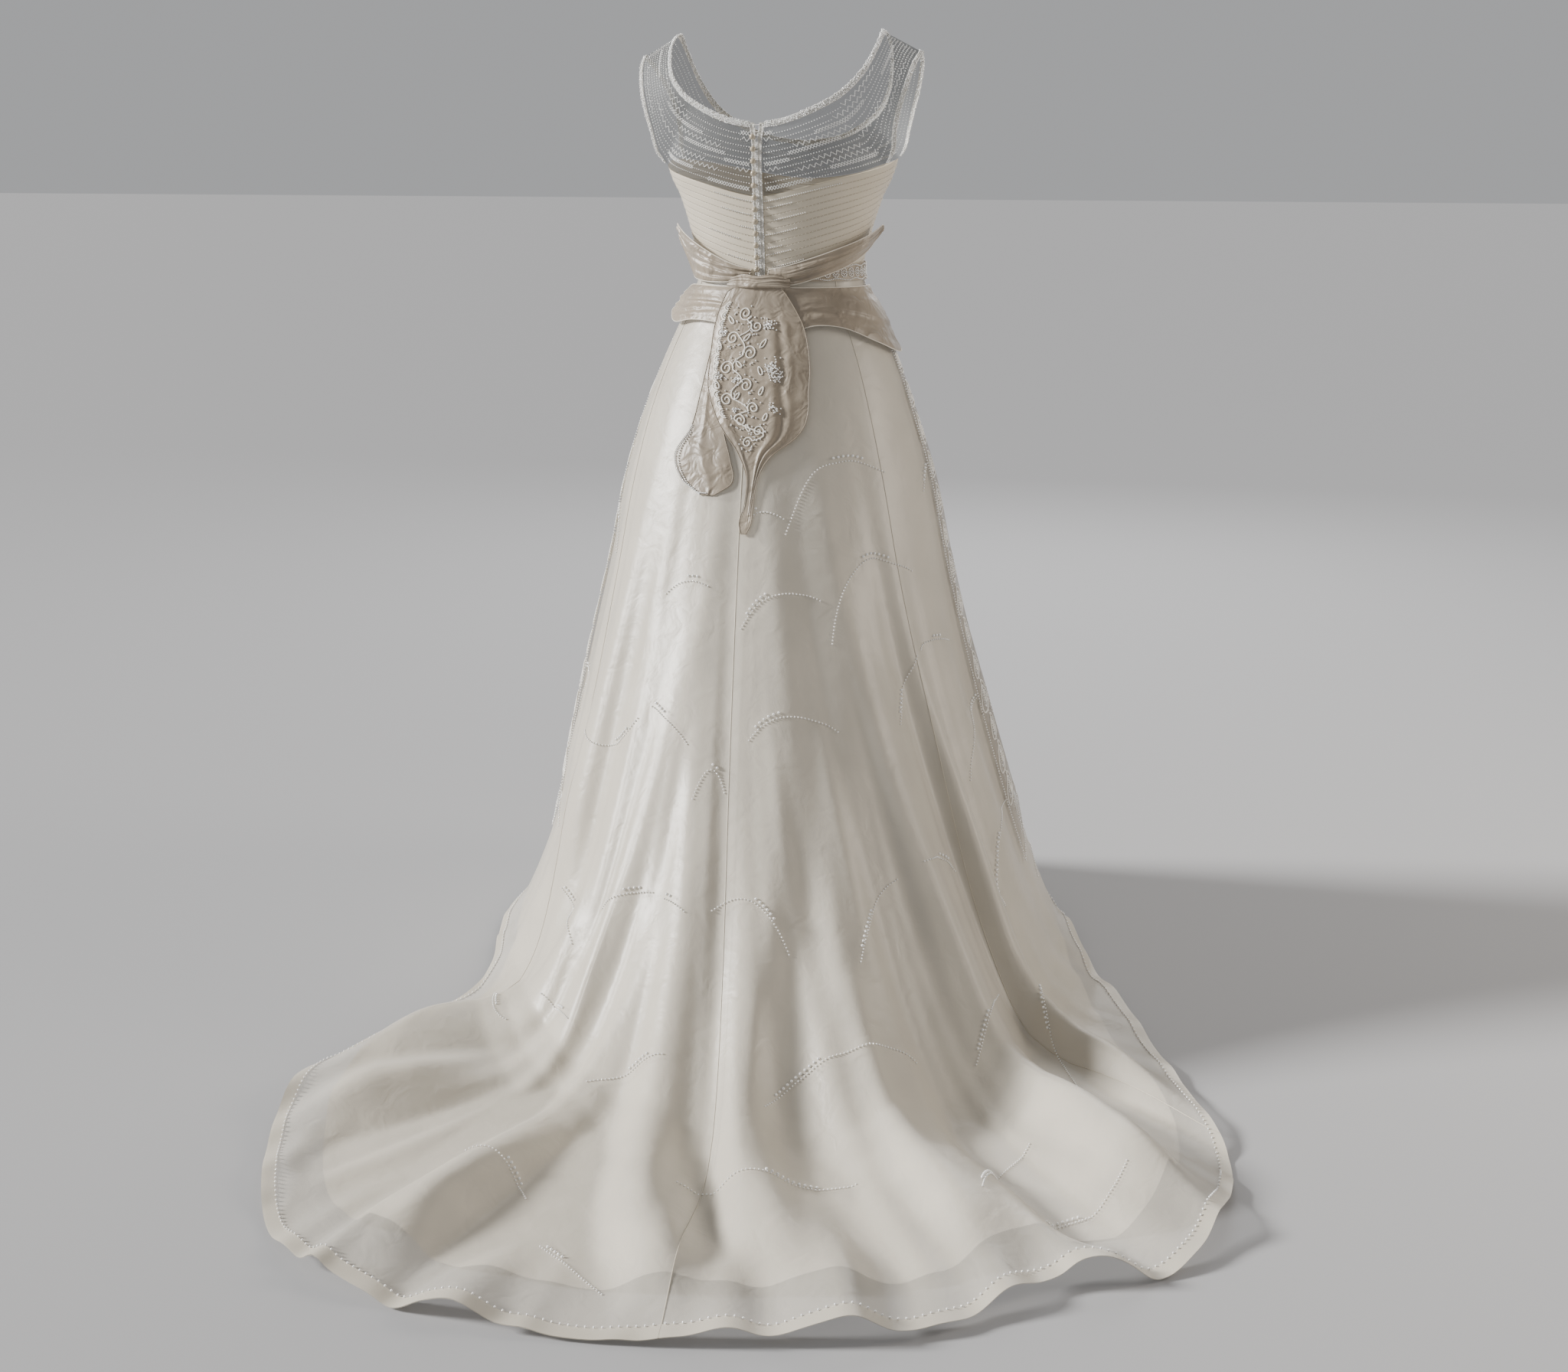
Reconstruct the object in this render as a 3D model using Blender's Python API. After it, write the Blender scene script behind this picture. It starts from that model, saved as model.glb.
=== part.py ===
"""A sleeveless wedding dress, filled out as when it is worn, with a long train.

Heights are measured from the floor and the whole dress hangs from an empty at the
shoulders, so the origin is the point between the two shoulder seams. The back of the
dress faces +Y, the wearer's left is +X. Directions round the body are degrees from the
centre back, growing towards the wearer's right.
"""
import math
from collections import namedtuple

import bmesh
import bpy
from mathutils import Vector

# Driving dimensions, in metres
SHOULDER_HEIGHT = 1.42
WAIST_HEIGHT = 1.06
TRAIN_TURN = 20.0
CLOTH = 0.0012
NET = 0.0010
BINDING = 0.0024
BINDING_WIDTH = 0.009
ARM_BINDING_WIDTH = 0.007
ARM_BINDING_START = 0.0022
BUTTON_CLEARANCE = 0.0005
SEAM_GAP = 0.0003
PLACKET_WIDTH = 0.0075
PLACKET_TOP = 1.286
PLACKET_RISE = 0.0006
PLACKET_OPEN_FROM = 1.252
PLACKET_OPENING = 0.0034
BODY_SQUARENESS = 2.15
SIDE_SEAM = 95.0
UNDERARM_HEIGHT = 1.235
BACK_TOP_CENTRE = 1.180
FRONT_TOP_CENTRE = 1.205
BUTTON_COUNT = 12
BUTTON_DIAMETER = 0.0076
BUTTON_TOP = 1.266
BUTTON_BOTTOM = 1.074
OVERSKIRT_FLOOR = 0.0045
UNDERSKIRT_END = 0.945
UNDERSKIRT_FLOOR = 0.0018
HEM_DROP = 0.0026

# Sections of the figure and the falling skirt: half widths to the wearer's left and right,
# and the reach to the front and to the back, at each height
Section = namedtuple("Section", "height left right front back")
SECTIONS = (
    Section(0.000, 0.450, 0.470, 0.400, 0.880),
    Section(0.040, 0.424, 0.446, 0.374, 0.800),
    Section(0.100, 0.396, 0.420, 0.346, 0.712),
    Section(0.200, 0.360, 0.386, 0.310, 0.598),
    Section(0.340, 0.328, 0.342, 0.272, 0.474),
    Section(0.480, 0.296, 0.302, 0.238, 0.372),
    Section(0.620, 0.266, 0.270, 0.208, 0.290),
    Section(0.750, 0.242, 0.243, 0.182, 0.228),
    Section(0.850, 0.214, 0.212, 0.158, 0.186),
    Section(0.930, 0.184, 0.184, 0.136, 0.148),
    Section(1.000, 0.153, 0.153, 0.114, 0.112),
    Section(1.060, 0.129, 0.129, 0.100, 0.088),
    Section(1.120, 0.139, 0.139, 0.116, 0.090),
    Section(1.180, 0.158, 0.158, 0.134, 0.096),
    Section(1.205, 0.171, 0.171, 0.138, 0.099),
    Section(1.240, 0.183, 0.183, 0.132, 0.101),
    Section(1.290, 0.190, 0.190, 0.112, 0.099),
)

# Finished edges of the yoke: distance from the centre line, reach to the back, height
Edge = namedtuple("Edge", "side reach height")
BACK_NECKLINE = (
    Edge(0.000, 0.0990, 1.286), Edge(0.042, 0.0980, 1.293), Edge(0.082, 0.0930, 1.308),
    Edge(0.121, 0.0820, 1.330), Edge(0.148, 0.0640, 1.360), Edge(0.160, 0.0370, 1.393),
    Edge(0.161, 0.0150, 1.412), Edge(0.158, 0.0000, 1.418),
)
FRONT_NECKLINE = (
    Edge(0.000, -0.1180, 1.262), Edge(0.048, -0.1150, 1.268), Edge(0.092, -0.1040, 1.285),
    Edge(0.128, -0.0880, 1.310), Edge(0.151, -0.0650, 1.348), Edge(0.161, -0.0380, 1.388),
    Edge(0.161, -0.0150, 1.411), Edge(0.158, 0.0000, 1.418),
)
BACK_ARMHOLE = (
    Edge(0.186, 0.0340, 1.248), Edge(0.190, 0.0430, 1.275), Edge(0.197, 0.0470, 1.304),
    Edge(0.206, 0.0410, 1.338), Edge(0.213, 0.0240, 1.370), Edge(0.217, 0.0000, 1.388),
)
FRONT_ARMHOLE = (
    Edge(0.180, -0.0510, 1.254), Edge(0.183, -0.0570, 1.278), Edge(0.189, -0.0570, 1.306),
    Edge(0.200, -0.0480, 1.340), Edge(0.211, -0.0260, 1.371), Edge(0.217, 0.0000, 1.388),
)
BACK_YOKE_END = 82.0
FRONT_YOKE_END = 104.0

# The yoke is laid out by u, from the centre line round to the shoulder seam, and v, from its
# lower edge to the neck. Up to UNDERARM the lower edge follows the bodice, then the armhole
UNDERARM = 0.5
BINDING_START = 0.515
NECK_LEAN = 1.5
NECK_START = 0.042
YOKE_US = [step / 14 for step in range(15)]
YOKE_VS = (0.0, 0.2, 0.4, 0.6, 0.8, 1.0)

# Where each station of the waist ends on the hem: direction and distance of the hem
Hem = namedtuple("Hem", "station direction reach")
HEM = (
    Hem(-180, -180, 0.410), Hem(-135, -112, 0.452), Hem(-104, -72, 0.466), Hem(-90, -54, 0.484),
    Hem(-81, -43, 0.520), Hem(-74, -35, 0.600), Hem(-67, -30, 0.740), Hem(-60, -26, 0.900),
    Hem(-49, -17, 1.080), Hem(-37, -9, 1.210), Hem(-22, 0, 1.262), Hem(-8, 9, 1.270),
    Hem(6, 18, 1.262), Hem(20, 28, 1.250), Hem(31, 35, 1.190), Hem(42, 42, 1.205),
    Hem(51, 48, 1.130), Hem(61, 54, 1.020), Hem(71, 60, 0.860), Hem(84, 70, 0.690),
    Hem(98, 86, 0.550), Hem(116, 108, 0.482), Hem(140, 134, 0.448), Hem(180, 180, 0.410),
)

# Folds of the skirt: the waist station that the crest passes at five shares of the cloth's
# length, the share where the fold starts, its depth in the fall and on the floor (valleys
# are negative), its half width in degrees of station, and how far the crest leans
Fold = namedtuple("Fold", "at_30 at_50 at_70 at_85 at_100 start fall floor wide lean")
FOLDS = (
    Fold(-52, -58, -69, -76, -80, 0.12, 0.017, 0.020, 7.5, 0.3),
    Fold(-42, -48, -60, -68, -73, 0.15, -0.012, 0.000, 6.0, 0.0),
    Fold(-29, -36, -50, -57, -61, 0.15, 0.025, 0.028, 7.0, 0.5),
    Fold(-17, -26, -40, -48, -53, 0.22, 0.020, 0.034, 5.0, 0.5),
    Fold(-12, -18, -31, -38, -44, 0.25, -0.014, 0.000, 4.5, 0.0),
    Fold(-20, -20, -23, -26, -28, 0.55, 0.012, 0.030, 4.5, 0.3),
    Fold(-14, -14, -15, -15, -15, 0.60, -0.010, 0.000, 4.0, 0.0),
    Fold(-8, -8, -9, -4, 4, 0.28, 0.022, 0.034, 5.5, 0.4),
    Fold(2, -1, -2, 2, 10, 0.35, -0.008, 0.000, 4.0, 0.0),
    Fold(13, 9, 5, 9, 16, 0.35, 0.015, 0.028, 5.5, 0.3),
    Fold(20, 16, 11, 18, 24, 0.30, -0.018, 0.000, 5.0, 0.0),
    Fold(30, 26, 24, 28, 32, 0.25, 0.012, 0.026, 6.0, 0.0),
    Fold(36, 37, 38, 39, 41, 0.25, -0.012, 0.000, 4.5, 0.0),
    Fold(40, 44, 49, 47, 47, 0.15, 0.020, 0.036, 6.0, -0.5),
    Fold(55, 60, 62, 58, 57, 0.18, -0.022, 0.000, 5.0, 0.0),
    Fold(62, 67, 70, 67, 66, 0.22, 0.018, 0.030, 5.0, -0.5),
    Fold(70, 75, 78, 79, 79, 0.25, -0.010, 0.000, 6.0, 0.0),
    Fold(80, 84, 88, 91, 92, 0.22, 0.013, 0.011, 8.0, 0.0),
    Fold(100, 102, 104, 105, 106, 0.25, 0.012, 0.010, 8.0, 0.0),
    Fold(-66, -72, -84, -90, -92, 0.20, 0.012, 0.012, 6.0, 0.0),
    Fold(-96, -100, -106, -108, -109, 0.25, 0.012, 0.010, 8.0, 0.0),
    Fold(124, 124, 124, 124, 124, 0.30, 0.014, 0.009, 9.0, 0.0),
    Fold(147, 148, 148, 149, 149, 0.25, 0.013, 0.009, 9.0, 0.0),
    Fold(171, 171, 171, 171, 171, 0.35, 0.012, 0.008, 9.0, 0.0),
    Fold(-131, -132, -134, -134, -134, 0.30, 0.014, 0.009, 9.0, 0.0),
    Fold(-155, -156, -156, -156, -156, 0.25, 0.013, 0.009, 9.0, 0.0),
)

# Places where the hem stands up off the floor: station, where on the length it starts to
# lift, height and half width in degrees of station
Lift = namedtuple("Lift", "station start height wide")
LIFTS = (
    Lift(-17, 0.88, 0.030, 4.5), Lift(12, 0.88, 0.024, 4.0), Lift(36, 0.92, 0.030, 3.4),
    Lift(-47, 0.90, 0.020, 3.6), Lift(-58, 0.90, 0.022, 3.2), Lift(26, 0.93, 0.014, 3.0),
)

# Tails of the sash: the two side edges and the distance off the skirt at each height
Strip = namedtuple("Strip", "height left right out")
LONG_TAIL = (
    Strip(1.0430, 0.036, -0.036, 0.0125), Strip(1.035, 0.046, -0.044, 0.0120),
    Strip(0.990, 0.058, -0.074, 0.0105), Strip(0.935, 0.056, -0.092, 0.0095),
    Strip(0.900, 0.052, -0.096, 0.0090), Strip(0.860, 0.032, -0.100, 0.0088),
    Strip(0.835, 0.012, -0.090, 0.0085), Strip(0.810, -0.010, -0.060, 0.0080),
    Strip(0.780, -0.026, -0.045, 0.0065), Strip(0.740, -0.029, -0.042, 0.0050),
    Strip(0.715, -0.025, -0.043, 0.0045), Strip(0.700, -0.030, -0.038, 0.0045),
)
SHORT_TAIL = (
    Strip(0.962, 0.062, 0.030, 0.0024), Strip(0.885, 0.068, 0.026, 0.0030),
    Strip(0.845, 0.074, 0.020, 0.0036), Strip(0.805, 0.096, 0.004, 0.0036),
    Strip(0.770, 0.078, -0.004, 0.0030), Strip(0.752, 0.044, 0.020, 0.0022),
)

# Sash pieces round the waist: their lower and upper edges in each direction, and how far
# those edges stand off the figure
Band = namedtuple("Band", "direction low high low_out high_out")
WING_LEFT = (
    Band(-76, 1.100, 1.138, 0.0160, 0.0190), Band(-68, 1.064, 1.126, 0.0115, 0.0170),
    Band(-58, 1.056, 1.112, 0.0100, 0.0140), Band(-42, 1.054, 1.094, 0.0085, 0.0105),
    Band(-24, 1.056, 1.080, 0.0070, 0.0070), Band(-9, 1.062, 1.074, 0.0017, 0.0017),
)
WING_RIGHT = (
    Band(9, 1.062, 1.074, 0.0017, 0.0017), Band(26, 1.052, 1.080, 0.0072, 0.0072),
    Band(48, 1.062, 1.094, 0.0090, 0.0105), Band(68, 1.078, 1.112, 0.0105, 0.0135),
    Band(84, 1.100, 1.128, 0.0125, 0.0155), Band(94, 1.124, 1.138, 0.0155, 0.0170),
)
PEPLUM_LEFT = (
    Band(-80, 1.004, 1.038, 0.0210, 0.0120), Band(-74, 0.996, 1.046, 0.0165, 0.0075),
    Band(-64, 0.992, 1.048, 0.0130, 0.0052), Band(-50, 0.998, 1.048, 0.0105, 0.0041),
    Band(-34, 0.998, 1.048, 0.0095, 0.0039), Band(-18, 0.993, 1.048, 0.0085, 0.0039),
    Band(-4, 0.990, 1.048, 0.0080, 0.0039),
)
PEPLUM_RIGHT = (
    Band(4, 0.990, 1.048, 0.0080, 0.0039), Band(24, 0.984, 1.048, 0.0085, 0.0039),
    Band(42, 0.994, 1.048, 0.0095, 0.0039), Band(58, 0.990, 1.048, 0.0105, 0.0041),
    Band(76, 0.968, 1.048, 0.0115, 0.0056), Band(94, 0.950, 1.048, 0.0130, 0.0070),
    Band(108, 0.952, 1.046, 0.0160, 0.0080), Band(118, 0.968, 1.034, 0.0190, 0.0100),
)
WAISTBAND = (
    Band(34, 1.0570, 1.081, 0.0050, 0.0024), Band(180, 1.0570, 1.084, 0.0050, 0.0024),
    Band(326, 1.0570, 1.081, 0.0050, 0.0024),
)
KNOT = (
    Band(-27, 1.0480, 1.0620, 0.0110, 0.0088), Band(-12, 1.0480, 1.0670, 0.0160, 0.0140),
    Band(0, 1.0480, 1.0650, 0.0175, 0.0165), Band(14, 1.0480, 1.0680, 0.0160, 0.0145),
    Band(28, 1.0480, 1.0640, 0.0110, 0.0090),
)

# The beaded net apron over the front of the skirt
APRON_FROM = 96.0
APRON_TO = 270.0
APRON_TIP = 0.775
APRON_MIDDLE = 0.700
APRON_SEAT = 0.0007
APRON_CLEARANCE = 0.0028

collection = None
root = None


def clear_scene():
    for item in list(bpy.data.objects):
        bpy.data.objects.remove(item, do_unlink=True)


def material(name, colour, roughness, metallic=0.0, alpha=1.0):
    """A plain Principled material."""
    made = bpy.data.materials.get(name)
    if made is None:
        made = bpy.data.materials.new(name)
        made.use_nodes = True
        shader = made.node_tree.nodes["Principled BSDF"]
        shader.inputs["Base Color"].default_value = (*colour, 1.0)
        shader.inputs["Roughness"].default_value = roughness
        shader.inputs["Metallic"].default_value = metallic
        shader.inputs["Alpha"].default_value = alpha
    return made


def smooth_between(rows, key, field, at):
    """Value of one column at a place between the rows, on a smooth curve through them."""
    keys = [getattr(row, key) for row in rows]
    values = [getattr(row, field) for row in rows]
    if at <= keys[0]:
        return values[0]
    if at >= keys[-1]:
        return values[-1]
    last = len(keys) - 1
    i = max(k for k in range(last) if keys[k] <= at)

    def slope(k):
        before, after = max(k - 1, 0), min(k + 1, last)
        return (values[after] - values[before]) / (keys[after] - keys[before])

    span = keys[i + 1] - keys[i]
    t = (at - keys[i]) / span
    start, end = slope(i) * span, slope(i + 1) * span
    return (values[i] * (2 * t ** 3 - 3 * t ** 2 + 1) + start * (t ** 3 - 2 * t ** 2 + t)
            + values[i + 1] * (3 * t ** 2 - 2 * t ** 3) + end * (t ** 3 - t ** 2))


def along(rows, share):
    """A point on the smooth curve through the rows of a table of edges, by share of its rows."""
    Step = namedtuple("Step", ("step",) + rows[0]._fields)
    stepped = [Step(i, *row) for i, row in enumerate(rows)]
    place = share * (len(rows) - 1)
    return Vector([smooth_between(stepped, "step", field, place) for field in rows[0]._fields])


def ease(low, high, value):
    """Smooth step from 0 at low to 1 at high."""
    t = min(max((value - low) / (high - low), 0.0), 1.0)
    return t * t * (3 - 2 * t)


def ring_radius(height, direction, turn=0.0, squareness=BODY_SQUARENESS):
    """Distance from the body's axis to the section's outline."""
    angle = math.radians(direction - turn)
    aside, back = math.sin(angle), math.cos(angle)
    side = smooth_between(SECTIONS, "height", "right" if aside > 0 else "left", height)
    depth = smooth_between(SECTIONS, "height", "back" if back > 0 else "front", height)
    return (abs(aside / side) ** squareness + abs(back / depth) ** squareness) ** (-1 / squareness)


def polar(direction, radius, height):
    angle = math.radians(direction)
    return Vector((-radius * math.sin(angle), radius * math.cos(angle), height))


def bust(direction, height):
    """Fullness of the two cups."""
    cup_direction, cup_height, cup_size, fullness = 27.0, 1.196, 0.052, 0.013
    swing = abs(180.0 - abs(direction)) - cup_direction
    aside = math.radians(swing) * 0.15
    distance = math.hypot(aside, height - cup_height) / cup_size
    return fullness * math.exp(-distance * distance)


def body_point(direction, height, out=0.0):
    radius = ring_radius(height, direction) + bust(direction, height) + out
    return polar(direction, radius, height)


def bodice_top(direction):
    """Height of the upper edge of the opaque bodice."""
    turn = abs((direction + 180.0) % 360.0 - 180.0)
    if turn <= SIDE_SEAM:
        return BACK_TOP_CENTRE + (UNDERARM_HEIGHT - BACK_TOP_CENTRE) * (turn / SIDE_SEAM) ** 1.5
    front = (turn - SIDE_SEAM) / (180.0 - SIDE_SEAM)
    return UNDERARM_HEIGHT + (FRONT_TOP_CENTRE - UNDERARM_HEIGHT) * math.sin(front * math.pi / 2) ** 2


def placket_edge(height):
    """Distance of a placket's inner edge from the centre back."""
    return SEAM_GAP + PLACKET_OPENING * ease(PLACKET_OPEN_FROM, PLACKET_TOP, height)


def centre_back(aside, height, out=0.0):
    """A point on the flat strip down the centre back."""
    return Vector((aside, ring_radius(height, 0.0) + out, height))


def wall(name, outer, normals, thickness, look):
    """A cloth wall between a grid of outer points and the same grid moved in by its thickness."""
    inner = [[point - normal * thickness for point, normal in zip(points, ups)]
             for points, ups in zip(outer, normals)]
    rows, columns = len(outer), len(outer[0])
    along_row, up = outer[0][1] - outer[0][0], outer[1][0] - outer[0][0]
    if along_row.cross(up).dot(normals[0][0]) < 0:
        outer, inner = turned(outer), turned(inner)
    built = bmesh.new()
    face_out = [[built.verts.new(point) for point in row] for row in outer]
    face_in = [[built.verts.new(point) for point in row] for row in inner]
    for a in range(rows - 1):
        for b in range(columns - 1):
            built.faces.new((face_out[a][b], face_out[a][b + 1], face_out[a + 1][b + 1], face_out[a + 1][b]))
            built.faces.new((face_in[a][b], face_in[a + 1][b], face_in[a + 1][b + 1], face_in[a][b + 1]))
    border = [(0, b) for b in range(columns - 1)] + [(a, columns - 1) for a in range(rows - 1)]
    border += [(rows - 1, b) for b in range(columns - 1, 0, -1)] + [(a, 0) for a in range(rows - 1, 0, -1)]
    for (a, b), (c, d) in zip(border, border[1:] + border[:1]):
        built.faces.new((face_out[a][b], face_in[a][b], face_in[c][d], face_out[c][d]))
    bmesh.ops.triangulate(built, faces=built.faces[:], quad_method="FIXED")
    mesh = bpy.data.meshes.new(name)
    built.to_mesh(mesh)
    built.free()
    mesh.shade_smooth()
    mesh.set_sharp_from_angle(angle=math.radians(50.0))
    made = bpy.data.objects.new(name, mesh)
    made.data.materials.append(look)
    collection.objects.link(made)
    made.parent = root
    return made


def spread(first, last, count):
    return [first + (last - first) * i / (count - 1) for i in range(count)]


def turned(grid):
    """The same grid with its columns in the other order."""
    return [list(reversed(row)) for row in grid]


def away_from_axis(point):
    return Vector((point.x, point.y, 0.0)).normalized()


def grid_normals(grid):
    """Outward unit normals at the points of a grid, from their neighbours."""
    last_row, last_column = len(grid) - 1, len(grid[0]) - 1
    normals = []
    for a, row in enumerate(grid):
        ups = []
        for b, point in enumerate(row):
            up = grid[min(a + 1, last_row)][b] - grid[max(a - 1, 0)][b]
            aside = row[min(b + 1, last_column)] - row[max(b - 1, 0)]
            normal = aside.cross(up).normalized()
            ups.append(normal if normal.dot(away_from_axis(point)) > 0 else -normal)
        normals.append(ups)
    return normals


def radial_normals(grid):
    return [[away_from_axis(point) for point in row] for row in grid]


# Bodice

def bodice_panel(name, first, last, columns, rows, look):
    """A bodice panel between two directions, from the waist to its upper edge."""
    low = WAIST_HEIGHT + SEAM_GAP
    grid = []
    for share in spread(0.0, 1.0, rows):
        row = []
        for direction in spread(first, last, columns):
            row.append(body_point(direction, low + (bodice_top(direction) - low) * share))
        grid.append(row)
    return wall(name, grid, radial_normals(grid), CLOTH, look)


def placket_direction(height):
    """Direction of a placket's outer edge, where the panel beside it starts."""
    edge = placket_edge(height) + PLACKET_WIDTH + SEAM_GAP
    return math.degrees(math.atan2(edge, ring_radius(height, 0.0)))


def bodice_back(name, side, look):
    """One half of the back, from its placket to the side seam."""
    low = WAIST_HEIGHT + SEAM_GAP
    grid = []
    for share in spread(0.0, 1.0, 7):
        row = []
        for turn in spread(0.0, 1.0, 12):
            first = placket_direction(low + (BACK_TOP_CENTRE - low) * share)
            direction = first + (SIDE_SEAM - 0.15 - first) * turn
            row.append(body_point(side * direction, low + (bodice_top(direction) - low) * share))
        grid.append(row)
    return wall(name, grid, radial_normals(grid), CLOTH, look)


# Yoke

def yoke_point(u, v, back, side):
    """The yoke's surface at u and v."""
    neckline, armhole = (BACK_NECKLINE, BACK_ARMHOLE) if back else (FRONT_NECKLINE, FRONT_ARMHOLE)

    def neck(share):
        start = NECK_START if back else 0.0
        point = along(neckline, start + (1.0 - start) * share ** NECK_LEAN)
        if back:
            point.x = max(point.x, placket_edge(point.z) + PLACKET_WIDTH + SEAM_GAP)
        return point

    def bodice_edge(share):
        first, last = 180.0, FRONT_YOKE_END
        if back:
            first, last = placket_direction(BACK_TOP_CENTRE), BACK_YOKE_END
        direction = first + (last - first) * share
        point = body_point(direction, bodice_top(direction) + 3 * SEAM_GAP)
        return Vector((abs(point.x), point.y, point.z))

    def lower(share):
        if share <= UNDERARM:
            return bodice_edge(share / UNDERARM)
        return along((Edge(*bodice_edge(1.0)),) + armhole, (share - UNDERARM) / (1.0 - UNDERARM))

    def centre(share):
        height = lower(0.0).z + (neck(0.0).z - lower(0.0).z) * share
        if back:
            return centre_back(placket_edge(height) + PLACKET_WIDTH + SEAM_GAP, height)
        return Vector((0.0, lower(0.0).y + (neck(0.0).y - lower(0.0).y) * share, height))

    straight = lower(0.0).lerp(neck(0.0), v)
    point = lower(u).lerp(neck(u), v) + (centre(v) - straight) * (1.0 - u)
    facing = 1 if back else -1
    fullness = 0.007 * math.sin(math.pi * u) * math.sin(math.pi * v)
    point.y += facing * (fullness + SEAM_GAP * ease(0.85, 1.0, u))
    return Vector((-side * point.x, point.y, point.z))


def yoke_normal(u, v, back, side):
    """Outward normal, level at the bodice seam and square to the shoulder seam."""
    step = 0.02
    aside = (yoke_point(min(u + step, 1.0), v, back, side)
             - yoke_point(max(u - step, 0.0), v, back, side))
    up = (yoke_point(u, min(v + step, 1.0), back, side)
          - yoke_point(u, max(v - step, 0.0), back, side))
    normal = aside.cross(up).normalized()
    point = yoke_point(u, v, back, side)
    if normal.dot(Vector((point.x, point.y * 1.5, 0.05))) < 0:
        normal = -normal
    normal.y *= 1.0 - ease(0.85, 1.0, u)
    normal.z *= 1.0 - (1.0 - ease(0.0, 0.3, v)) * (1.0 - ease(UNDERARM - 0.1, UNDERARM + 0.1, u))
    if u == 0.0:
        normal.x = 0.0
    return normal.normalized()


def neck_share(u, back, inset):
    """How far up the yoke a line lies that runs below the neckline by the inset."""
    length = (yoke_point(u, 1.0, back, 1) - yoke_point(u, 0.9, back, 1)).length / 0.1
    return 1.0 - inset / length


def yoke_places(back):
    """Pairs of u and v for the net panel, which ends under the neck binding."""
    return [[(u, v * neck_share(u, back, BINDING_WIDTH + SEAM_GAP)) for u in YOKE_US] for v in YOKE_VS]


def binding_places(back):
    return [[(u, neck_share(u, back, BINDING_WIDTH - SEAM_GAP)) for u in YOKE_US],
            [(u, 1.0) for u in YOKE_US]]


def yoke_piece(name, places, back, sides, thickness, look):
    """A piece of the yoke's surface on one side, or on both sides of the centre line."""
    def half(side):
        points = [[yoke_point(u, v, back, side) for u, v in row] for row in places]
        ups = [[yoke_normal(u, v, back, side) for u, v in row] for row in places]
        return points, ups

    if len(sides) == 1:
        points, ups = half(sides[0])
    else:
        (right, right_ups), (left, left_ups) = half(1), half(-1)
        points = [list(reversed(b)) + a[1:] for a, b in zip(right, left)]
        ups = [list(reversed(b)) + a[1:] for a, b in zip(right_ups, left_ups)]
        middle = len(right[0]) - 1
        for row in ups:
            row[middle] = Vector((0.0, row[middle].y, row[middle].z)).normalized()
    return wall(name, points, ups, thickness, look)


def armhole_binding(name, back, side, look):
    """A strip along the yoke's armhole edge, narrow where it starts under the arm."""
    grid, normals = [], []
    for u in [BINDING_START] + [u for u in YOKE_US if u > UNDERARM]:
        edge = yoke_point(u, 0.0, back, side)
        normal = yoke_normal(u, 0.0, back, side)
        run = (yoke_point(min(u + 0.02, 1.0), 0.0, back, side)
               - yoke_point(max(u - 0.02, UNDERARM), 0.0, back, side))
        outward = run.cross(normal)
        if outward.dot(edge - yoke_point(u, 0.1, back, side)) < 0:
            outward = -outward
        outward.y *= 1.0 - ease(0.85, 1.0, u)
        outward.normalize()
        width = ARM_BINDING_START + (ARM_BINDING_WIDTH - ARM_BINDING_START) * ease(0.5, 0.6, u)
        grid.append([edge + outward * 2 * SEAM_GAP, edge + outward * width])
        normals.append([normal] * 2)
    return wall(name, grid, normals, BINDING, look)


def placket(name, side, look):
    """A narrow strip down the centre back that carries the buttons or their loops."""
    heights = spread(WAIST_HEIGHT + SEAM_GAP, PLACKET_OPEN_FROM, 12)
    heights += spread(PLACKET_OPEN_FROM, PLACKET_TOP, 5)[1:]
    grid = []
    for height in heights:
        inner = placket_edge(height)
        edges = (inner, inner + PLACKET_WIDTH)
        grid.append([centre_back(-side * aside, height, PLACKET_RISE) for aside in edges])
    normals = [[Vector((0.0, 1.0, 0.0))] * 2 for row in grid]
    return wall(name, grid, normals, CLOTH + PLACKET_RISE, look)


def button(name, height, look):
    """A round pearl on the wearer's left placket."""
    mesh = bpy.data.meshes.new(name)
    built = bmesh.new()
    bmesh.ops.create_uvsphere(built, u_segments=8, v_segments=5, radius=BUTTON_DIAMETER / 2)
    built.to_mesh(mesh)
    built.free()
    mesh.shade_smooth()
    made = bpy.data.objects.new(name, mesh)
    made.data.materials.append(look)
    collection.objects.link(made)
    made.parent = root
    aside = placket_edge(height) + PLACKET_WIDTH / 2
    made.location = centre_back(aside, height, PLACKET_RISE + BUTTON_DIAMETER / 2 + BUTTON_CLEARANCE)
    return made


# Skirt

CREST_SHARES = (0.30, 0.50, 0.70, 0.85, 1.00)
Crest = namedtuple("Crest", "share station")


def crest_station(fold, share):
    """The station that a fold's crest passes at a share of the cloth's length."""
    stations = (fold.at_30, fold.at_50, fold.at_70, fold.at_85, fold.at_100)
    return smooth_between([Crest(*pair) for pair in zip(CREST_SHARES, stations)],
                          "share", "station", share)


def hem_direction(station):
    return smooth_between(HEM, "station", "direction", station)


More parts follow.
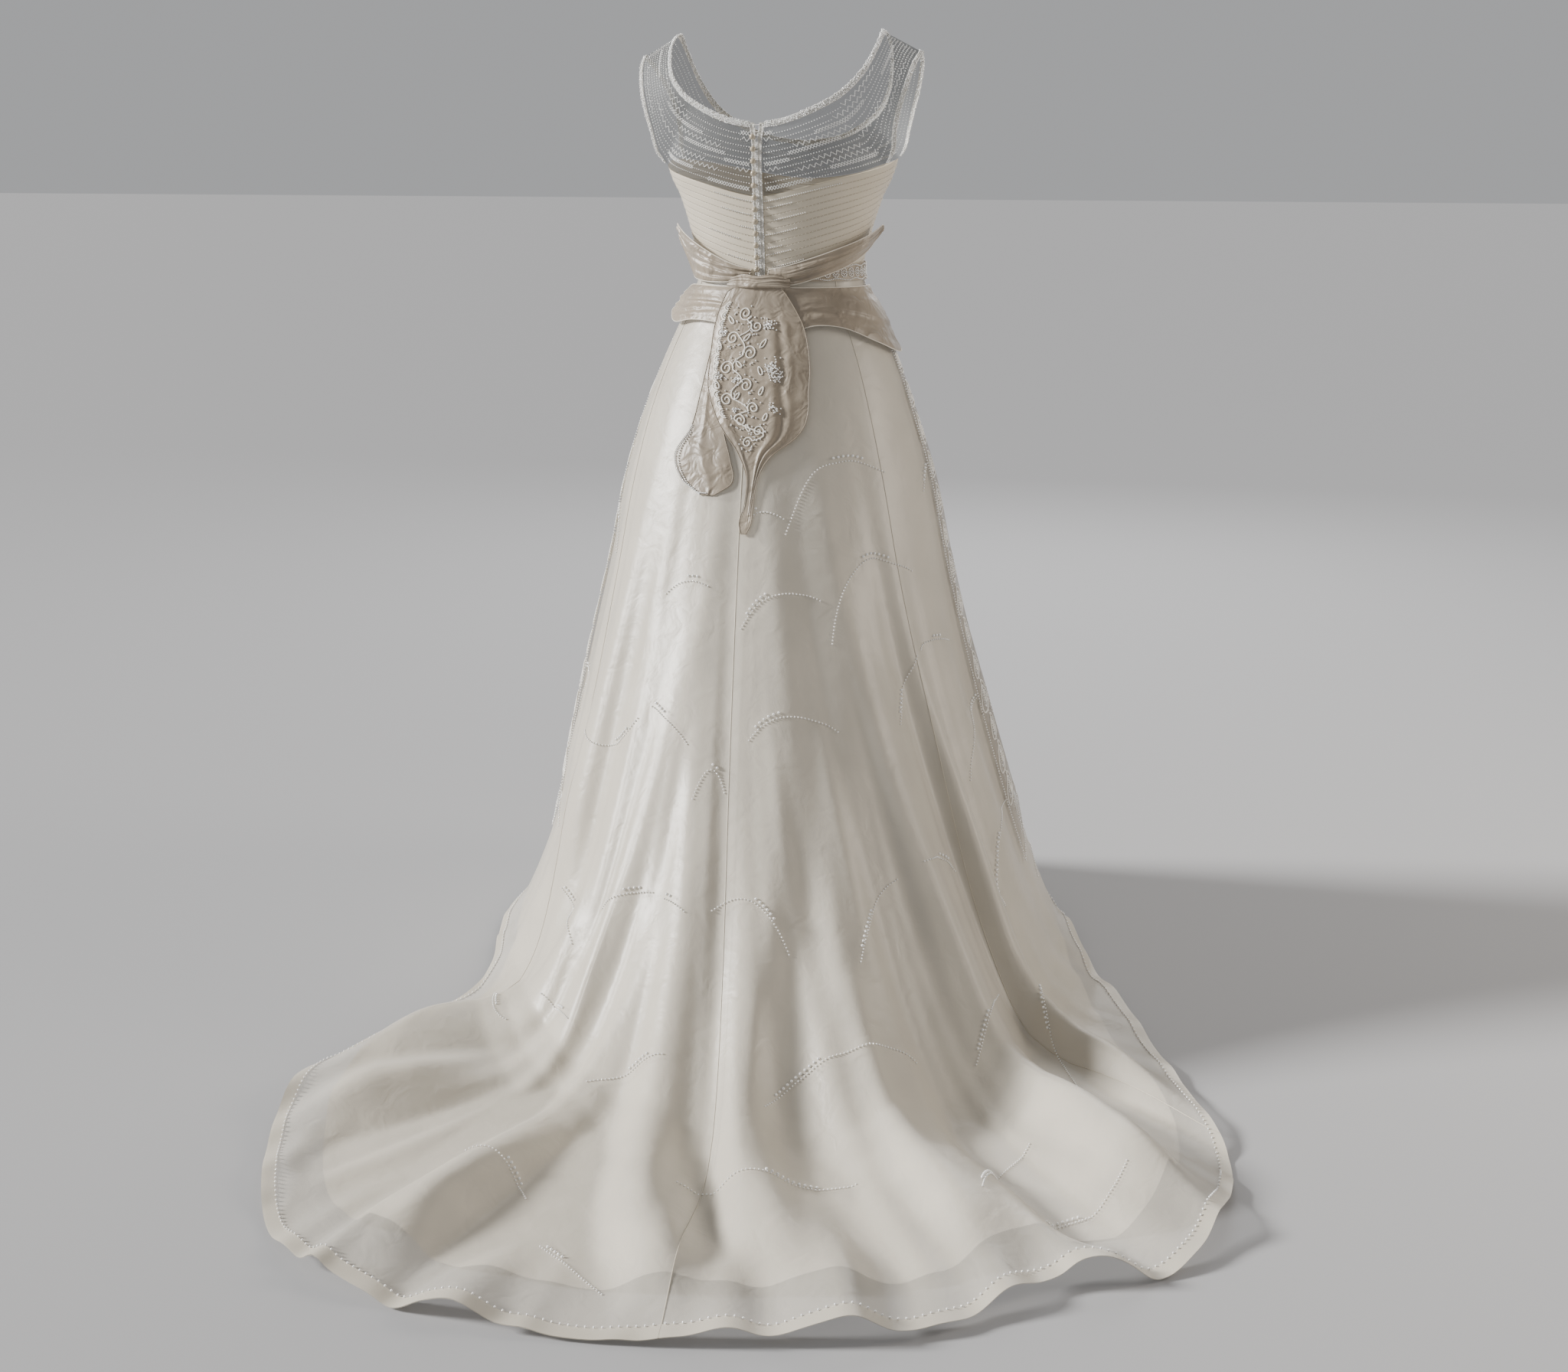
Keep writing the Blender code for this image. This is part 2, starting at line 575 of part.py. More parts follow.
def skirt_base(station, share):
    """The skirt without its folds, by waist station and share of the cloth's length."""
    station = (station + 180.0) % 360.0 - 180.0
    end = hem_direction(station)
    hem_reach = smooth_between(HEM, "station", "reach", station)
    waist = ring_radius(WAIST_HEIGHT, station)
    contact = min(ring_radius(0.0, end, TRAIN_TURN, 2.0), hem_reach - 0.004)
    fall = math.hypot(WAIST_HEIGHT, contact - waist)
    fall_share = fall / (fall + hem_reach - contact)
    if share >= fall_share:
        t = (share - fall_share) / (1.0 - fall_share)
        return polar(end, contact + (hem_reach - contact) * t, OVERSKIRT_FLOOR)
    t = share / fall_share
    moved = 1.0 - (1.0 - t) ** 1.7
    fallen = (1.0 - t) ** (1.05 * fall / WAIST_HEIGHT)
    direction = station + (end - station) * moved
    turn = TRAIN_TURN * moved
    radius = ring_radius(WAIST_HEIGHT * fallen, direction, turn, BODY_SQUARENESS - 0.15 * moved)
    reach = ring_radius(0.0, direction, turn, 2.0)
    radius *= 1.0 + (min(contact / reach, 1.0) - 1.0) * moved
    return polar(direction, radius, OVERSKIRT_FLOOR + (WAIST_HEIGHT - OVERSKIRT_FLOOR) * fallen)


def fold_height(station, share):
    """How far the folds push the cloth off its plain form."""
    total = 0.0
    lying = ease(0.70, 0.86, share)
    for fold in FOLDS:
        offset = (station - crest_station(fold, share) + 180.0) % 360.0 - 180.0
        x = offset / (fold.wide * 1.35)
        if abs(x) >= 1.0:
            continue
        x = x + fold.lean * 0.35 * (1.0 - x * x)
        grown = ease(fold.start, fold.start + 0.45, share)
        flattened = 1.0 - 0.75 * ease(0.88, 1.0, share)
        depth = fold.fall * (1.0 - lying) + fold.floor * lying * flattened
        total += depth * grown * math.cos(x * math.pi / 2) ** 2
    for lift in LIFTS:
        x = ((station - lift.station + 180.0) % 360.0 - 180.0) / (lift.wide * 1.3)
        if abs(x) < 1.0:
            total += lift.height * ease(lift.start, 1.0, share) * math.cos(x * math.pi / 2) ** 2
    return total


def normal_of(surface, station, share):
    """Outward unit normal of a surface of station and share."""
    turn, step = 0.6, 0.006
    low, high = max(share - step, 0.0), min(share + step, 1.0)
    aside = surface(station + turn, share) - surface(station - turn, share)
    down = surface(station, high) - surface(station, low)
    return down.cross(aside).normalized()


def skirt_point(station, share):
    """The skirt's outer surface: folds push it outwards in the fall and upwards on the floor."""
    point = skirt_base(station, share)
    rising = ease(0.30, 0.88, share)
    push = (away_from_axis(point) * (1.0 - rising) + Vector((0.0, 0.0, rising))).normalized()
    point = point + push * fold_height(station, share)
    lowest = OVERSKIRT_FLOOR - HEM_DROP * ease(UNDERSKIRT_END + 0.01, 1.0, share)
    point.z = max(point.z, lowest)
    return point


def skirt_layer(name, gore, shares, inset, lowest, thickness, look):
    """One gore of a skirt layer, moved in from the outer surface, with its seam gaps."""
    grid, normals = [], []
    for share in shares:
        row, ups = [], []
        for station in spread(gore.first, gore.last, gore.columns):
            normal = normal_of(skirt_point, station, share)
            ups.append(normal)
            point = skirt_point(station, share) - normal * inset(share)
            point.z = max(point.z, lowest)
            row.append(point)
        row[0] = row[0] + (row[1] - row[0]).normalized() * SEAM_GAP
        row[-1] = row[-1] + (row[-2] - row[-1]).normalized() * SEAM_GAP
        grid.append(row)
        normals.append(ups)
    grid[0] = [point - Vector((0.0, 0.0, SEAM_GAP)) for point in grid[0]]
    normals[0] = [away_from_axis(point) for point in grid[0]]
    return wall(name, grid, normals, thickness, look)


def on_top(share):
    return 0.0


def lining_inset(share):
    """The outer cloth and the air under it: none at the waist seam, little on the floor."""
    return CLOTH + 0.0005 + 0.0060 * ease(0.0, 0.22, share) * (1.0 - 0.80 * ease(0.72, 0.86, share))


OVER_SHARES = (0.0, 0.04, 0.10, 0.18, 0.28, 0.38, 0.48, 0.57, 0.65, 0.72, 0.78, 0.84, 0.895,
               UNDERSKIRT_END, 0.975, 1.0)
UNDER_SHARES = OVER_SHARES[:-2]
APRON_SHARES = OVER_SHARES[:9]
Gore = namedtuple("Gore", "name first last columns")
GORES = (
    Gore("back_left", -64, 0, 22), Gore("back_right", 0, 64, 22),
    Gore("side_right", 64, 118, 12), Gore("front", 118, 242, 13), Gore("side_left", -118, -64, 12),
)


# Apron, waistband and sash

def apron(name, look):
    """The net apron over the front of the skirt, its side edges ending in points."""
    grid, normals = [], []
    stations = sorted({round(station % 360.0, 3) for gore in GORES if not gore.name.startswith("back")
                       for station in spread(gore.first, gore.last, gore.columns)
                       if APRON_FROM < station % 360.0 < APRON_TO})
    middle, half = (stations[0] + stations[-1]) / 2, (stations[-1] - stations[0]) / 2
    for step in APRON_SHARES + (1.0,):
        row, ups = [], []
        for station in stations:
            edge = abs(station - middle) / half
            end = APRON_MIDDLE + (APRON_TIP - APRON_MIDDLE) * edge ** 3
            share = min(step, end)
            lift = NET + APRON_SEAT + APRON_CLEARANCE * ease(0.0, 0.25, share)
            normal = normal_of(skirt_point, station, share)
            row.append(skirt_point(station, share) + normal * lift)
            ups.append(normal)
        grid.append(row)
        normals.append(ups)
    grid[0] = [point - Vector((0.0, 0.0, SEAM_GAP)) for point in grid[0]]
    normals[0] = [away_from_axis(point) for point in grid[0]]
    return wall(name, grid, normals, NET, look)


def waist_panel(name, table, columns, rows, look):
    """A piece round the waist, standing off the cloth below it."""
    grid = []
    for share in spread(0.0, 1.0, rows):
        row = []
        for direction in spread(table[0].direction, table[-1].direction, columns):
            low, high, low_out, high_out = (smooth_between(table, "direction", field, direction)
                                            for field in ("low", "high", "low_out", "high_out"))
            out = low_out + (high_out - low_out) * share
            row.append(body_point(direction, low + (high - low) * share, out))
        grid.append(row)
    return wall(name, grid, grid_normals(grid), NET, look)


def over_skirt(aside, height, out):
    """A point off the back of the skirt, found by its distance from the centre and its height."""
    station = math.degrees(math.atan2(-aside, ring_radius(height, 0.0)))
    for _ in range(8):
        low, high = 0.0, 0.7
        for _ in range(18):
            share = (low + high) / 2
            if skirt_point(station, share).z > height:
                low = share
            else:
                high = share
        point = skirt_point(station, share)
        station += math.degrees((point.x - aside) / away_from_axis(point).y / point.xy.length)
    return point + normal_of(skirt_point, station, share) * out


def tail(name, table, rows, look):
    """A hanging tail of the sash, laid over the back of the skirt."""
    ordered = tuple(reversed(table))
    grid = []
    for height in spread(table[0].height, table[-1].height, rows):
        left, right, out = (smooth_between(ordered, "height", field, height)
                            for field in ("left", "right", "out"))
        grid.append([over_skirt(aside, height, out) for aside in spread(left, right, 7)])
    return wall(name, grid, grid_normals(grid), NET, look)


def main():
    global collection, root
    clear_scene()
    collection = bpy.data.collections.new("wedding_dress")
    bpy.context.scene.collection.children.link(collection)
    root = bpy.data.objects.new("floor_level", None)
    root.location = (0.0, 0.0, -SHOULDER_HEIGHT)
    collection.objects.link(root)

    cream = material("cream_bodice", (0.72, 0.66, 0.56), 0.55)
    net = material("sheer_net", (0.55, 0.55, 0.52), 0.6, alpha=0.45)
    beaded = material("beaded_binding", (0.70, 0.68, 0.62), 0.35)
    pearl = material("pearl", (0.80, 0.76, 0.68), 0.2, metallic=0.1)
    sash = material("sash_organza", (0.48, 0.42, 0.36), 0.5)
    lace = material("beaded_lace", (0.62, 0.57, 0.52), 0.45)
    organza = material("overskirt_organza", (0.74, 0.73, 0.72), 0.4)
    satin = material("underskirt_satin", (0.70, 0.70, 0.70), 0.35)

    bodice_panel("bodice_front", SIDE_SEAM + 0.15, 360.0 - SIDE_SEAM - 0.15, 19, 7, cream)
    yoke_piece("yoke_front", yoke_places(False), False, (1, -1), NET, net)
    yoke_piece("neck_binding_front", binding_places(False), False, (1, -1), BINDING, beaded)
    for word, side in (("left", -1), ("right", 1)):
        bodice_back("bodice_back_" + word, side, cream)
        yoke_piece("yoke_back_" + word, yoke_places(True), True, (side,), NET, net)
        yoke_piece("neck_binding_back_" + word, binding_places(True), True, (side,), BINDING, beaded)
        armhole_binding("armhole_binding_back_" + word, True, side, beaded)
        armhole_binding("armhole_binding_front_" + word, False, side, beaded)
        placket("placket_" + word, side, beaded)
    for number, height in enumerate(spread(BUTTON_TOP, BUTTON_BOTTOM, BUTTON_COUNT), start=1):
        button(f"button_{number:02d}", height, pearl)

    for gore in GORES:
        skirt_layer("overskirt_" + gore.name, gore, OVER_SHARES, on_top, 0.0, CLOTH, organza)
        skirt_layer("underskirt_" + gore.name, gore, UNDER_SHARES, lining_inset, UNDERSKIRT_FLOOR,
                    NET, satin)
    apron("apron_front", lace)

    waist_panel("waistband", WAISTBAND, 33, 2, lace)
    waist_panel("sash_wing_left", WING_LEFT, 9, 4, sash)
    waist_panel("sash_wing_right", WING_RIGHT, 10, 4, sash)
    waist_panel("sash_knot", KNOT, 11, 4, sash)
    waist_panel("peplum_left", PEPLUM_LEFT, 10, 4, sash)
    waist_panel("peplum_right", PEPLUM_RIGHT, 13, 5, sash)
    tail("sash_tail_long", LONG_TAIL, 13, sash)
    tail("sash_tail_short", SHORT_TAIL, 8, sash)


main()
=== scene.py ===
"""Looks of a sleeveless wedding dress with a long train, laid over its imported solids.

The same sections, folds and seams as the solids, drawn finer: cloth as thin shells, then
beads, embroidery, loops and the narrow hem. Heights are from the floor and are lowered to
the row's frame when a mesh is made. Grids hold points as rows by columns by x, y, z.
"""
import math
from collections import namedtuple

import bpy
import numpy as np
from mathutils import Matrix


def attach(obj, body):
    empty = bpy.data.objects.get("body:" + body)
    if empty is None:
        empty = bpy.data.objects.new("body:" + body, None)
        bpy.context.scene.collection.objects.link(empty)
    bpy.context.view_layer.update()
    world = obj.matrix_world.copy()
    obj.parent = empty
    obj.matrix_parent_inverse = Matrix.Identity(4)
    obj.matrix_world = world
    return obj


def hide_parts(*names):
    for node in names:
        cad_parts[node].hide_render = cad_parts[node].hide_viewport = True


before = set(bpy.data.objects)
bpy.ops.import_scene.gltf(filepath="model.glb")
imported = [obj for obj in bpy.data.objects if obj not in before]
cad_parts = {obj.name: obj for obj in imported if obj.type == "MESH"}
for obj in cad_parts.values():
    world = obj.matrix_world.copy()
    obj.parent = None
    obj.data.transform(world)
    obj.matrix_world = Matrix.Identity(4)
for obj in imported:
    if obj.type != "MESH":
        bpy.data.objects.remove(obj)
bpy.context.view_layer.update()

SHOULDER_HEIGHT = 1.42
WAIST_HEIGHT = 1.06
TRAIN_TURN = 20.0
CLOTH = 0.0012
NET = 0.0010
BINDING_WIDTH = 0.009
ARM_BINDING_WIDTH = 0.007
ARM_BINDING_START = 0.0022
BUTTON_CLEARANCE = 0.0005
SEAM_GAP = 0.0003
PLACKET_WIDTH = 0.0075
PLACKET_TOP = 1.286
PLACKET_RISE = 0.0006
PLACKET_OPEN_FROM = 1.252
PLACKET_OPENING = 0.0034
BODY_SQUARENESS = 2.15
SIDE_SEAM = 95.0
UNDERARM_HEIGHT = 1.235
BACK_TOP_CENTRE = 1.180
FRONT_TOP_CENTRE = 1.205
BUTTON_COUNT = 12
BUTTON_DIAMETER = 0.0076
BUTTON_TOP = 1.266
BUTTON_BOTTOM = 1.074
OVERSKIRT_FLOOR = 0.0045
UNDERSKIRT_END = 0.945
UNDERSKIRT_FLOOR = 0.0018
HEM_DROP = 0.0026


# Sections of the figure and the falling skirt: half widths to the wearer's left and right,
# and the reach to the front and to the back, at each height
Section = namedtuple("Section", "height left right front back")
SECTIONS = (
    Section(0.000, 0.450, 0.470, 0.400, 0.880),
    Section(0.040, 0.424, 0.446, 0.374, 0.800),
    Section(0.100, 0.396, 0.420, 0.346, 0.712),
    Section(0.200, 0.360, 0.386, 0.310, 0.598),
    Section(0.340, 0.328, 0.342, 0.272, 0.474),
    Section(0.480, 0.296, 0.302, 0.238, 0.372),
    Section(0.620, 0.266, 0.270, 0.208, 0.290),
    Section(0.750, 0.242, 0.243, 0.182, 0.228),
    Section(0.850, 0.214, 0.212, 0.158, 0.186),
    Section(0.930, 0.184, 0.184, 0.136, 0.148),
    Section(1.000, 0.153, 0.153, 0.114, 0.112),
    Section(1.060, 0.129, 0.129, 0.100, 0.088),
    Section(1.120, 0.139, 0.139, 0.116, 0.090),
    Section(1.180, 0.158, 0.158, 0.134, 0.096),
    Section(1.205, 0.171, 0.171, 0.138, 0.099),
    Section(1.240, 0.183, 0.183, 0.132, 0.101),
    Section(1.290, 0.190, 0.190, 0.112, 0.099),
)

# Finished edges of the yoke: distance from the centre line, reach to the back, height
Edge = namedtuple("Edge", "side reach height")
BACK_NECKLINE = (
    Edge(0.000, 0.0990, 1.286), Edge(0.042, 0.0980, 1.293), Edge(0.082, 0.0930, 1.308),
    Edge(0.121, 0.0820, 1.330), Edge(0.148, 0.0640, 1.360), Edge(0.160, 0.0370, 1.393),
    Edge(0.161, 0.0150, 1.412), Edge(0.158, 0.0000, 1.418),
)
FRONT_NECKLINE = (
    Edge(0.000, -0.1180, 1.262), Edge(0.048, -0.1150, 1.268), Edge(0.092, -0.1040, 1.285),
    Edge(0.128, -0.0880, 1.310), Edge(0.151, -0.0650, 1.348), Edge(0.161, -0.0380, 1.388),
    Edge(0.161, -0.0150, 1.411), Edge(0.158, 0.0000, 1.418),
)
BACK_ARMHOLE = (
    Edge(0.186, 0.0340, 1.248), Edge(0.190, 0.0430, 1.275), Edge(0.197, 0.0470, 1.304),
    Edge(0.206, 0.0410, 1.338), Edge(0.213, 0.0240, 1.370), Edge(0.217, 0.0000, 1.388),
)
FRONT_ARMHOLE = (
    Edge(0.180, -0.0510, 1.254), Edge(0.183, -0.0570, 1.278), Edge(0.189, -0.0570, 1.306),
    Edge(0.200, -0.0480, 1.340), Edge(0.211, -0.0260, 1.371), Edge(0.217, 0.0000, 1.388),
)
BACK_YOKE_END = 82.0
FRONT_YOKE_END = 104.0

# The yoke is laid out by u, from the centre line round to the shoulder seam, and v, from its
# lower edge to the neck. Up to UNDERARM the lower edge follows the bodice, then the armhole
UNDERARM = 0.5
BINDING_START = 0.515
NECK_LEAN = 1.5
NECK_START = 0.042

# Where each station of the waist ends on the hem: direction and distance of the hem
Hem = namedtuple("Hem", "station direction reach")
HEM = (
    Hem(-180, -180, 0.410), Hem(-135, -112, 0.452), Hem(-104, -72, 0.466), Hem(-90, -54, 0.484),
    Hem(-81, -43, 0.520), Hem(-74, -35, 0.600), Hem(-67, -30, 0.740), Hem(-60, -26, 0.900),
    Hem(-49, -17, 1.080), Hem(-37, -9, 1.210), Hem(-22, 0, 1.262), Hem(-8, 9, 1.270),
    Hem(6, 18, 1.262), Hem(20, 28, 1.250), Hem(31, 35, 1.190), Hem(42, 42, 1.205),
    Hem(51, 48, 1.130), Hem(61, 54, 1.020), Hem(71, 60, 0.860), Hem(84, 70, 0.690),
    Hem(98, 86, 0.550), Hem(116, 108, 0.482), Hem(140, 134, 0.448), Hem(180, 180, 0.410),
)

# Folds of the skirt: the waist station that the crest passes at five shares of the cloth's
# length, the share where the fold starts, its depth in the fall and on the floor (valleys
# are negative), its half width in degrees of station, and how far the crest leans
Fold = namedtuple("Fold", "at_30 at_50 at_70 at_85 at_100 start fall floor wide lean")
FOLDS = (
    Fold(-52, -58, -69, -76, -80, 0.12, 0.017, 0.020, 7.5, 0.3),
    Fold(-42, -48, -60, -68, -73, 0.15, -0.012, 0.000, 6.0, 0.0),
    Fold(-29, -36, -50, -57, -61, 0.15, 0.025, 0.028, 7.0, 0.5),
    Fold(-17, -26, -40, -48, -53, 0.22, 0.020, 0.034, 5.0, 0.5),
    Fold(-12, -18, -31, -38, -44, 0.25, -0.014, 0.000, 4.5, 0.0),
    Fold(-20, -20, -23, -26, -28, 0.55, 0.012, 0.030, 4.5, 0.3),
    Fold(-14, -14, -15, -15, -15, 0.60, -0.010, 0.000, 4.0, 0.0),
    Fold(-8, -8, -9, -4, 4, 0.28, 0.022, 0.034, 5.5, 0.4),
    Fold(2, -1, -2, 2, 10, 0.35, -0.008, 0.000, 4.0, 0.0),
    Fold(13, 9, 5, 9, 16, 0.35, 0.015, 0.028, 5.5, 0.3),
    Fold(20, 16, 11, 18, 24, 0.30, -0.018, 0.000, 5.0, 0.0),
    Fold(30, 26, 24, 28, 32, 0.25, 0.012, 0.026, 6.0, 0.0),
    Fold(36, 37, 38, 39, 41, 0.25, -0.012, 0.000, 4.5, 0.0),
    Fold(40, 44, 49, 47, 47, 0.15, 0.020, 0.036, 6.0, -0.5),
    Fold(55, 60, 62, 58, 57, 0.18, -0.022, 0.000, 5.0, 0.0),
    Fold(62, 67, 70, 67, 66, 0.22, 0.018, 0.030, 5.0, -0.5),
    Fold(70, 75, 78, 79, 79, 0.25, -0.010, 0.000, 6.0, 0.0),
    Fold(80, 84, 88, 91, 92, 0.22, 0.013, 0.011, 8.0, 0.0),
    Fold(100, 102, 104, 105, 106, 0.25, 0.012, 0.010, 8.0, 0.0),
    Fold(-66, -72, -84, -90, -92, 0.20, 0.012, 0.012, 6.0, 0.0),
    Fold(-96, -100, -106, -108, -109, 0.25, 0.012, 0.010, 8.0, 0.0),
    Fold(124, 124, 124, 124, 124, 0.30, 0.014, 0.009, 9.0, 0.0),
    Fold(147, 148, 148, 149, 149, 0.25, 0.013, 0.009, 9.0, 0.0),
    Fold(171, 171, 171, 171, 171, 0.35, 0.012, 0.008, 9.0, 0.0),
    Fold(-131, -132, -134, -134, -134, 0.30, 0.014, 0.009, 9.0, 0.0),
    Fold(-155, -156, -156, -156, -156, 0.25, 0.013, 0.009, 9.0, 0.0),
)

# Places where the hem stands up off the floor: station, where on the length it starts to
# lift, height and half width in degrees of station
Lift = namedtuple("Lift", "station start height wide")
LIFTS = (
    Lift(-17, 0.88, 0.030, 4.5), Lift(12, 0.88, 0.024, 4.0), Lift(36, 0.92, 0.030, 3.4),
    Lift(-47, 0.90, 0.020, 3.6), Lift(-58, 0.90, 0.022, 3.2), Lift(26, 0.93, 0.014, 3.0),
)

# Tails of the sash: the two side edges and the distance off the skirt at each height
Strip = namedtuple("Strip", "height left right out")
LONG_TAIL = (
    Strip(1.0430, 0.036, -0.036, 0.0125), Strip(1.035, 0.046, -0.044, 0.0120),
    Strip(0.990, 0.058, -0.074, 0.0105), Strip(0.935, 0.056, -0.092, 0.0095),
    Strip(0.900, 0.052, -0.096, 0.0090), Strip(0.860, 0.032, -0.100, 0.0088),
    Strip(0.835, 0.012, -0.090, 0.0085), Strip(0.810, -0.010, -0.060, 0.0080),
    Strip(0.780, -0.026, -0.045, 0.0065), Strip(0.740, -0.029, -0.042, 0.0050),
    Strip(0.715, -0.025, -0.043, 0.0045), Strip(0.700, -0.030, -0.038, 0.0045),
)
SHORT_TAIL = (
    Strip(0.962, 0.062, 0.030, 0.0024), Strip(0.885, 0.068, 0.026, 0.0030),
    Strip(0.845, 0.074, 0.020, 0.0036), Strip(0.805, 0.096, 0.004, 0.0036),
    Strip(0.770, 0.078, -0.004, 0.0030), Strip(0.752, 0.044, 0.020, 0.0022),
)

# Sash pieces round the waist: their lower and upper edges in each direction, and how far
# those edges stand off the figure
Band = namedtuple("Band", "direction low high low_out high_out")
WING_LEFT = (
    Band(-76, 1.100, 1.138, 0.0160, 0.0190), Band(-68, 1.064, 1.126, 0.0115, 0.0170),
    Band(-58, 1.056, 1.112, 0.0100, 0.0140), Band(-42, 1.054, 1.094, 0.0085, 0.0105),
    Band(-24, 1.056, 1.080, 0.0070, 0.0070), Band(-9, 1.062, 1.074, 0.0017, 0.0017),
)
WING_RIGHT = (
    Band(9, 1.062, 1.074, 0.0017, 0.0017), Band(26, 1.052, 1.080, 0.0072, 0.0072),
    Band(48, 1.062, 1.094, 0.0090, 0.0105), Band(68, 1.078, 1.112, 0.0105, 0.0135),
    Band(84, 1.100, 1.128, 0.0125, 0.0155), Band(94, 1.124, 1.138, 0.0155, 0.0170),
)
PEPLUM_LEFT = (
    Band(-80, 1.004, 1.038, 0.0210, 0.0120), Band(-74, 0.996, 1.046, 0.0165, 0.0075),
    Band(-64, 0.992, 1.048, 0.0130, 0.0052), Band(-50, 0.998, 1.048, 0.0105, 0.0041),
    Band(-34, 0.998, 1.048, 0.0095, 0.0039), Band(-18, 0.993, 1.048, 0.0085, 0.0039),
    Band(-4, 0.990, 1.048, 0.0080, 0.0039),
)
PEPLUM_RIGHT = (
    Band(4, 0.990, 1.048, 0.0080, 0.0039), Band(24, 0.984, 1.048, 0.0085, 0.0039),
    Band(42, 0.994, 1.048, 0.0095, 0.0039), Band(58, 0.990, 1.048, 0.0105, 0.0041),
    Band(76, 0.968, 1.048, 0.0115, 0.0056), Band(94, 0.950, 1.048, 0.0130, 0.0070),
    Band(108, 0.952, 1.046, 0.0160, 0.0080), Band(118, 0.968, 1.034, 0.0190, 0.0100),
)
WAISTBAND = (
    Band(34, 1.0570, 1.081, 0.0050, 0.0024), Band(180, 1.0570, 1.084, 0.0050, 0.0024),
    Band(326, 1.0570, 1.081, 0.0050, 0.0024),
)
KNOT = (
    Band(-27, 1.0480, 1.0620, 0.0110, 0.0088), Band(-12, 1.0480, 1.0670, 0.0160, 0.0140),
    Band(0, 1.0480, 1.0650, 0.0175, 0.0165), Band(14, 1.0480, 1.0680, 0.0160, 0.0145),
    Band(28, 1.0480, 1.0640, 0.0110, 0.0090),
)

# The beaded net apron over the front of the skirt
APRON_FROM = 96.0
APRON_TO = 270.0
APRON_TIP = 0.775
APRON_MIDDLE = 0.700
APRON_SEAT = 0.0007
APRON_CLEARANCE = 0.0028

Gore = namedtuple("Gore", "name first last columns")
GORES = (
    Gore("back_left", -64, 0, 22), Gore("back_right", 0, 64, 22),
    Gore("side_right", 64, 118, 12), Gore("front", 118, 242, 13), Gore("side_left", -118, -64, 12),
)

CREST_SHARES = (0.30, 0.50, 0.70, 0.85, 1.00)

# Small soft creases between the main folds: stations at a third of the length and at the
# hem, where each starts, its depth (troughs are negative) and its half width in degrees
Crease = namedtuple("Crease", "high low start depth wide")
CREASES = (
    Crease(15, 27, 0.05, 0.0045, 4.6), Crease(25, 38, 0.06, -0.0035, 4.2),
    Crease(37, 50, 0.04, 0.0045, 4.8), Crease(56, 66, 0.05, -0.0035, 4.6),
    Crease(-13, -30, 0.05, 0.0040, 4.4), Crease(-30, -48, 0.06, -0.0040, 4.6),
    Crease(-50, -68, 0.04, 0.0045, 5.0), Crease(-2, 0, 0.10, -0.0035, 3.6),
    Crease(124, 126, 0.06, 0.0045, 5.4), Crease(150, 150, 0.06, -0.0035, 5.0),
    Crease(176, 176, 0.05, 0.0045, 5.6), Crease(-156, -155, 0.06, 0.0045, 5.2),
    Crease(-128, -130, 0.06, -0.0035, 5.0),
    Crease(-48, -66, 0.30, 0.0035, 2.6), Crease(-34, -52, 0.20, -0.0040, 2.4),
    Crease(-24, -44, 0.34, 0.0040, 2.2), Crease(-14, -34, 0.26, 0.0030, 2.0),
    Crease(-11, -22, 0.50, -0.0045, 2.6), Crease(-5, 0, 0.22, 0.0030, 1.8),
    Crease(-2, 6, 0.46, 0.0040, 2.2), Crease(5, 12, 0.30, -0.0030, 2.0),
    Crease(10, 22, 0.24, 0.0035, 2.0), Crease(17, 27, 0.42, 0.0045, 2.3),
    Crease(23, 35, 0.20, 0.0030, 2.2), Crease(28, 37, 0.36, -0.0035, 2.0),
    Crease(33, 44, 0.26, 0.0030, 1.9), Crease(45, 52, 0.30, 0.0045, 2.4),
    Crease(51, 60, 0.22, -0.0040, 2.2), Crease(58, 63, 0.40, 0.0040, 2.0),
    Crease(66, 71, 0.30, 0.0035, 2.4), Crease(74, 84, 0.24, 0.0040, 2.2),
    Crease(88, 96, 0.34, -0.0035, 3.0), Crease(96, 101, 0.28, 0.0035, 2.6),
    Crease(110, 112, 0.32, 0.0040, 3.2), Crease(117, 118, 0.45, -0.0035, 3.0),
    Crease(133, 136, 0.30, 0.0040, 3.4), Crease(141, 140, 0.52, -0.0030, 2.8),
    Crease(158, 160, 0.36, 0.0045, 3.2), Crease(165, 164, 0.55, -0.0030, 3.0),
    Crease(-177, -176, 0.40, 0.0035, 3.4), Crease(-167, -166, 0.33, -0.0035, 2.8),
    Crease(-145, -144, 0.30, 0.0045, 3.4), Crease(-139, -141, 0.50, -0.0030, 2.6),
    Crease(-121, -124, 0.34, 0.0040, 3.2), Crease(-112, -116, 0.28, -0.0035, 3.0),
    Crease(-104, -115, 0.40, 0.0035, 2.8), Crease(-88, -101, 0.30, 0.0040, 2.8),
    Crease(-78, -94, 0.42, -0.0035, 2.6),
)

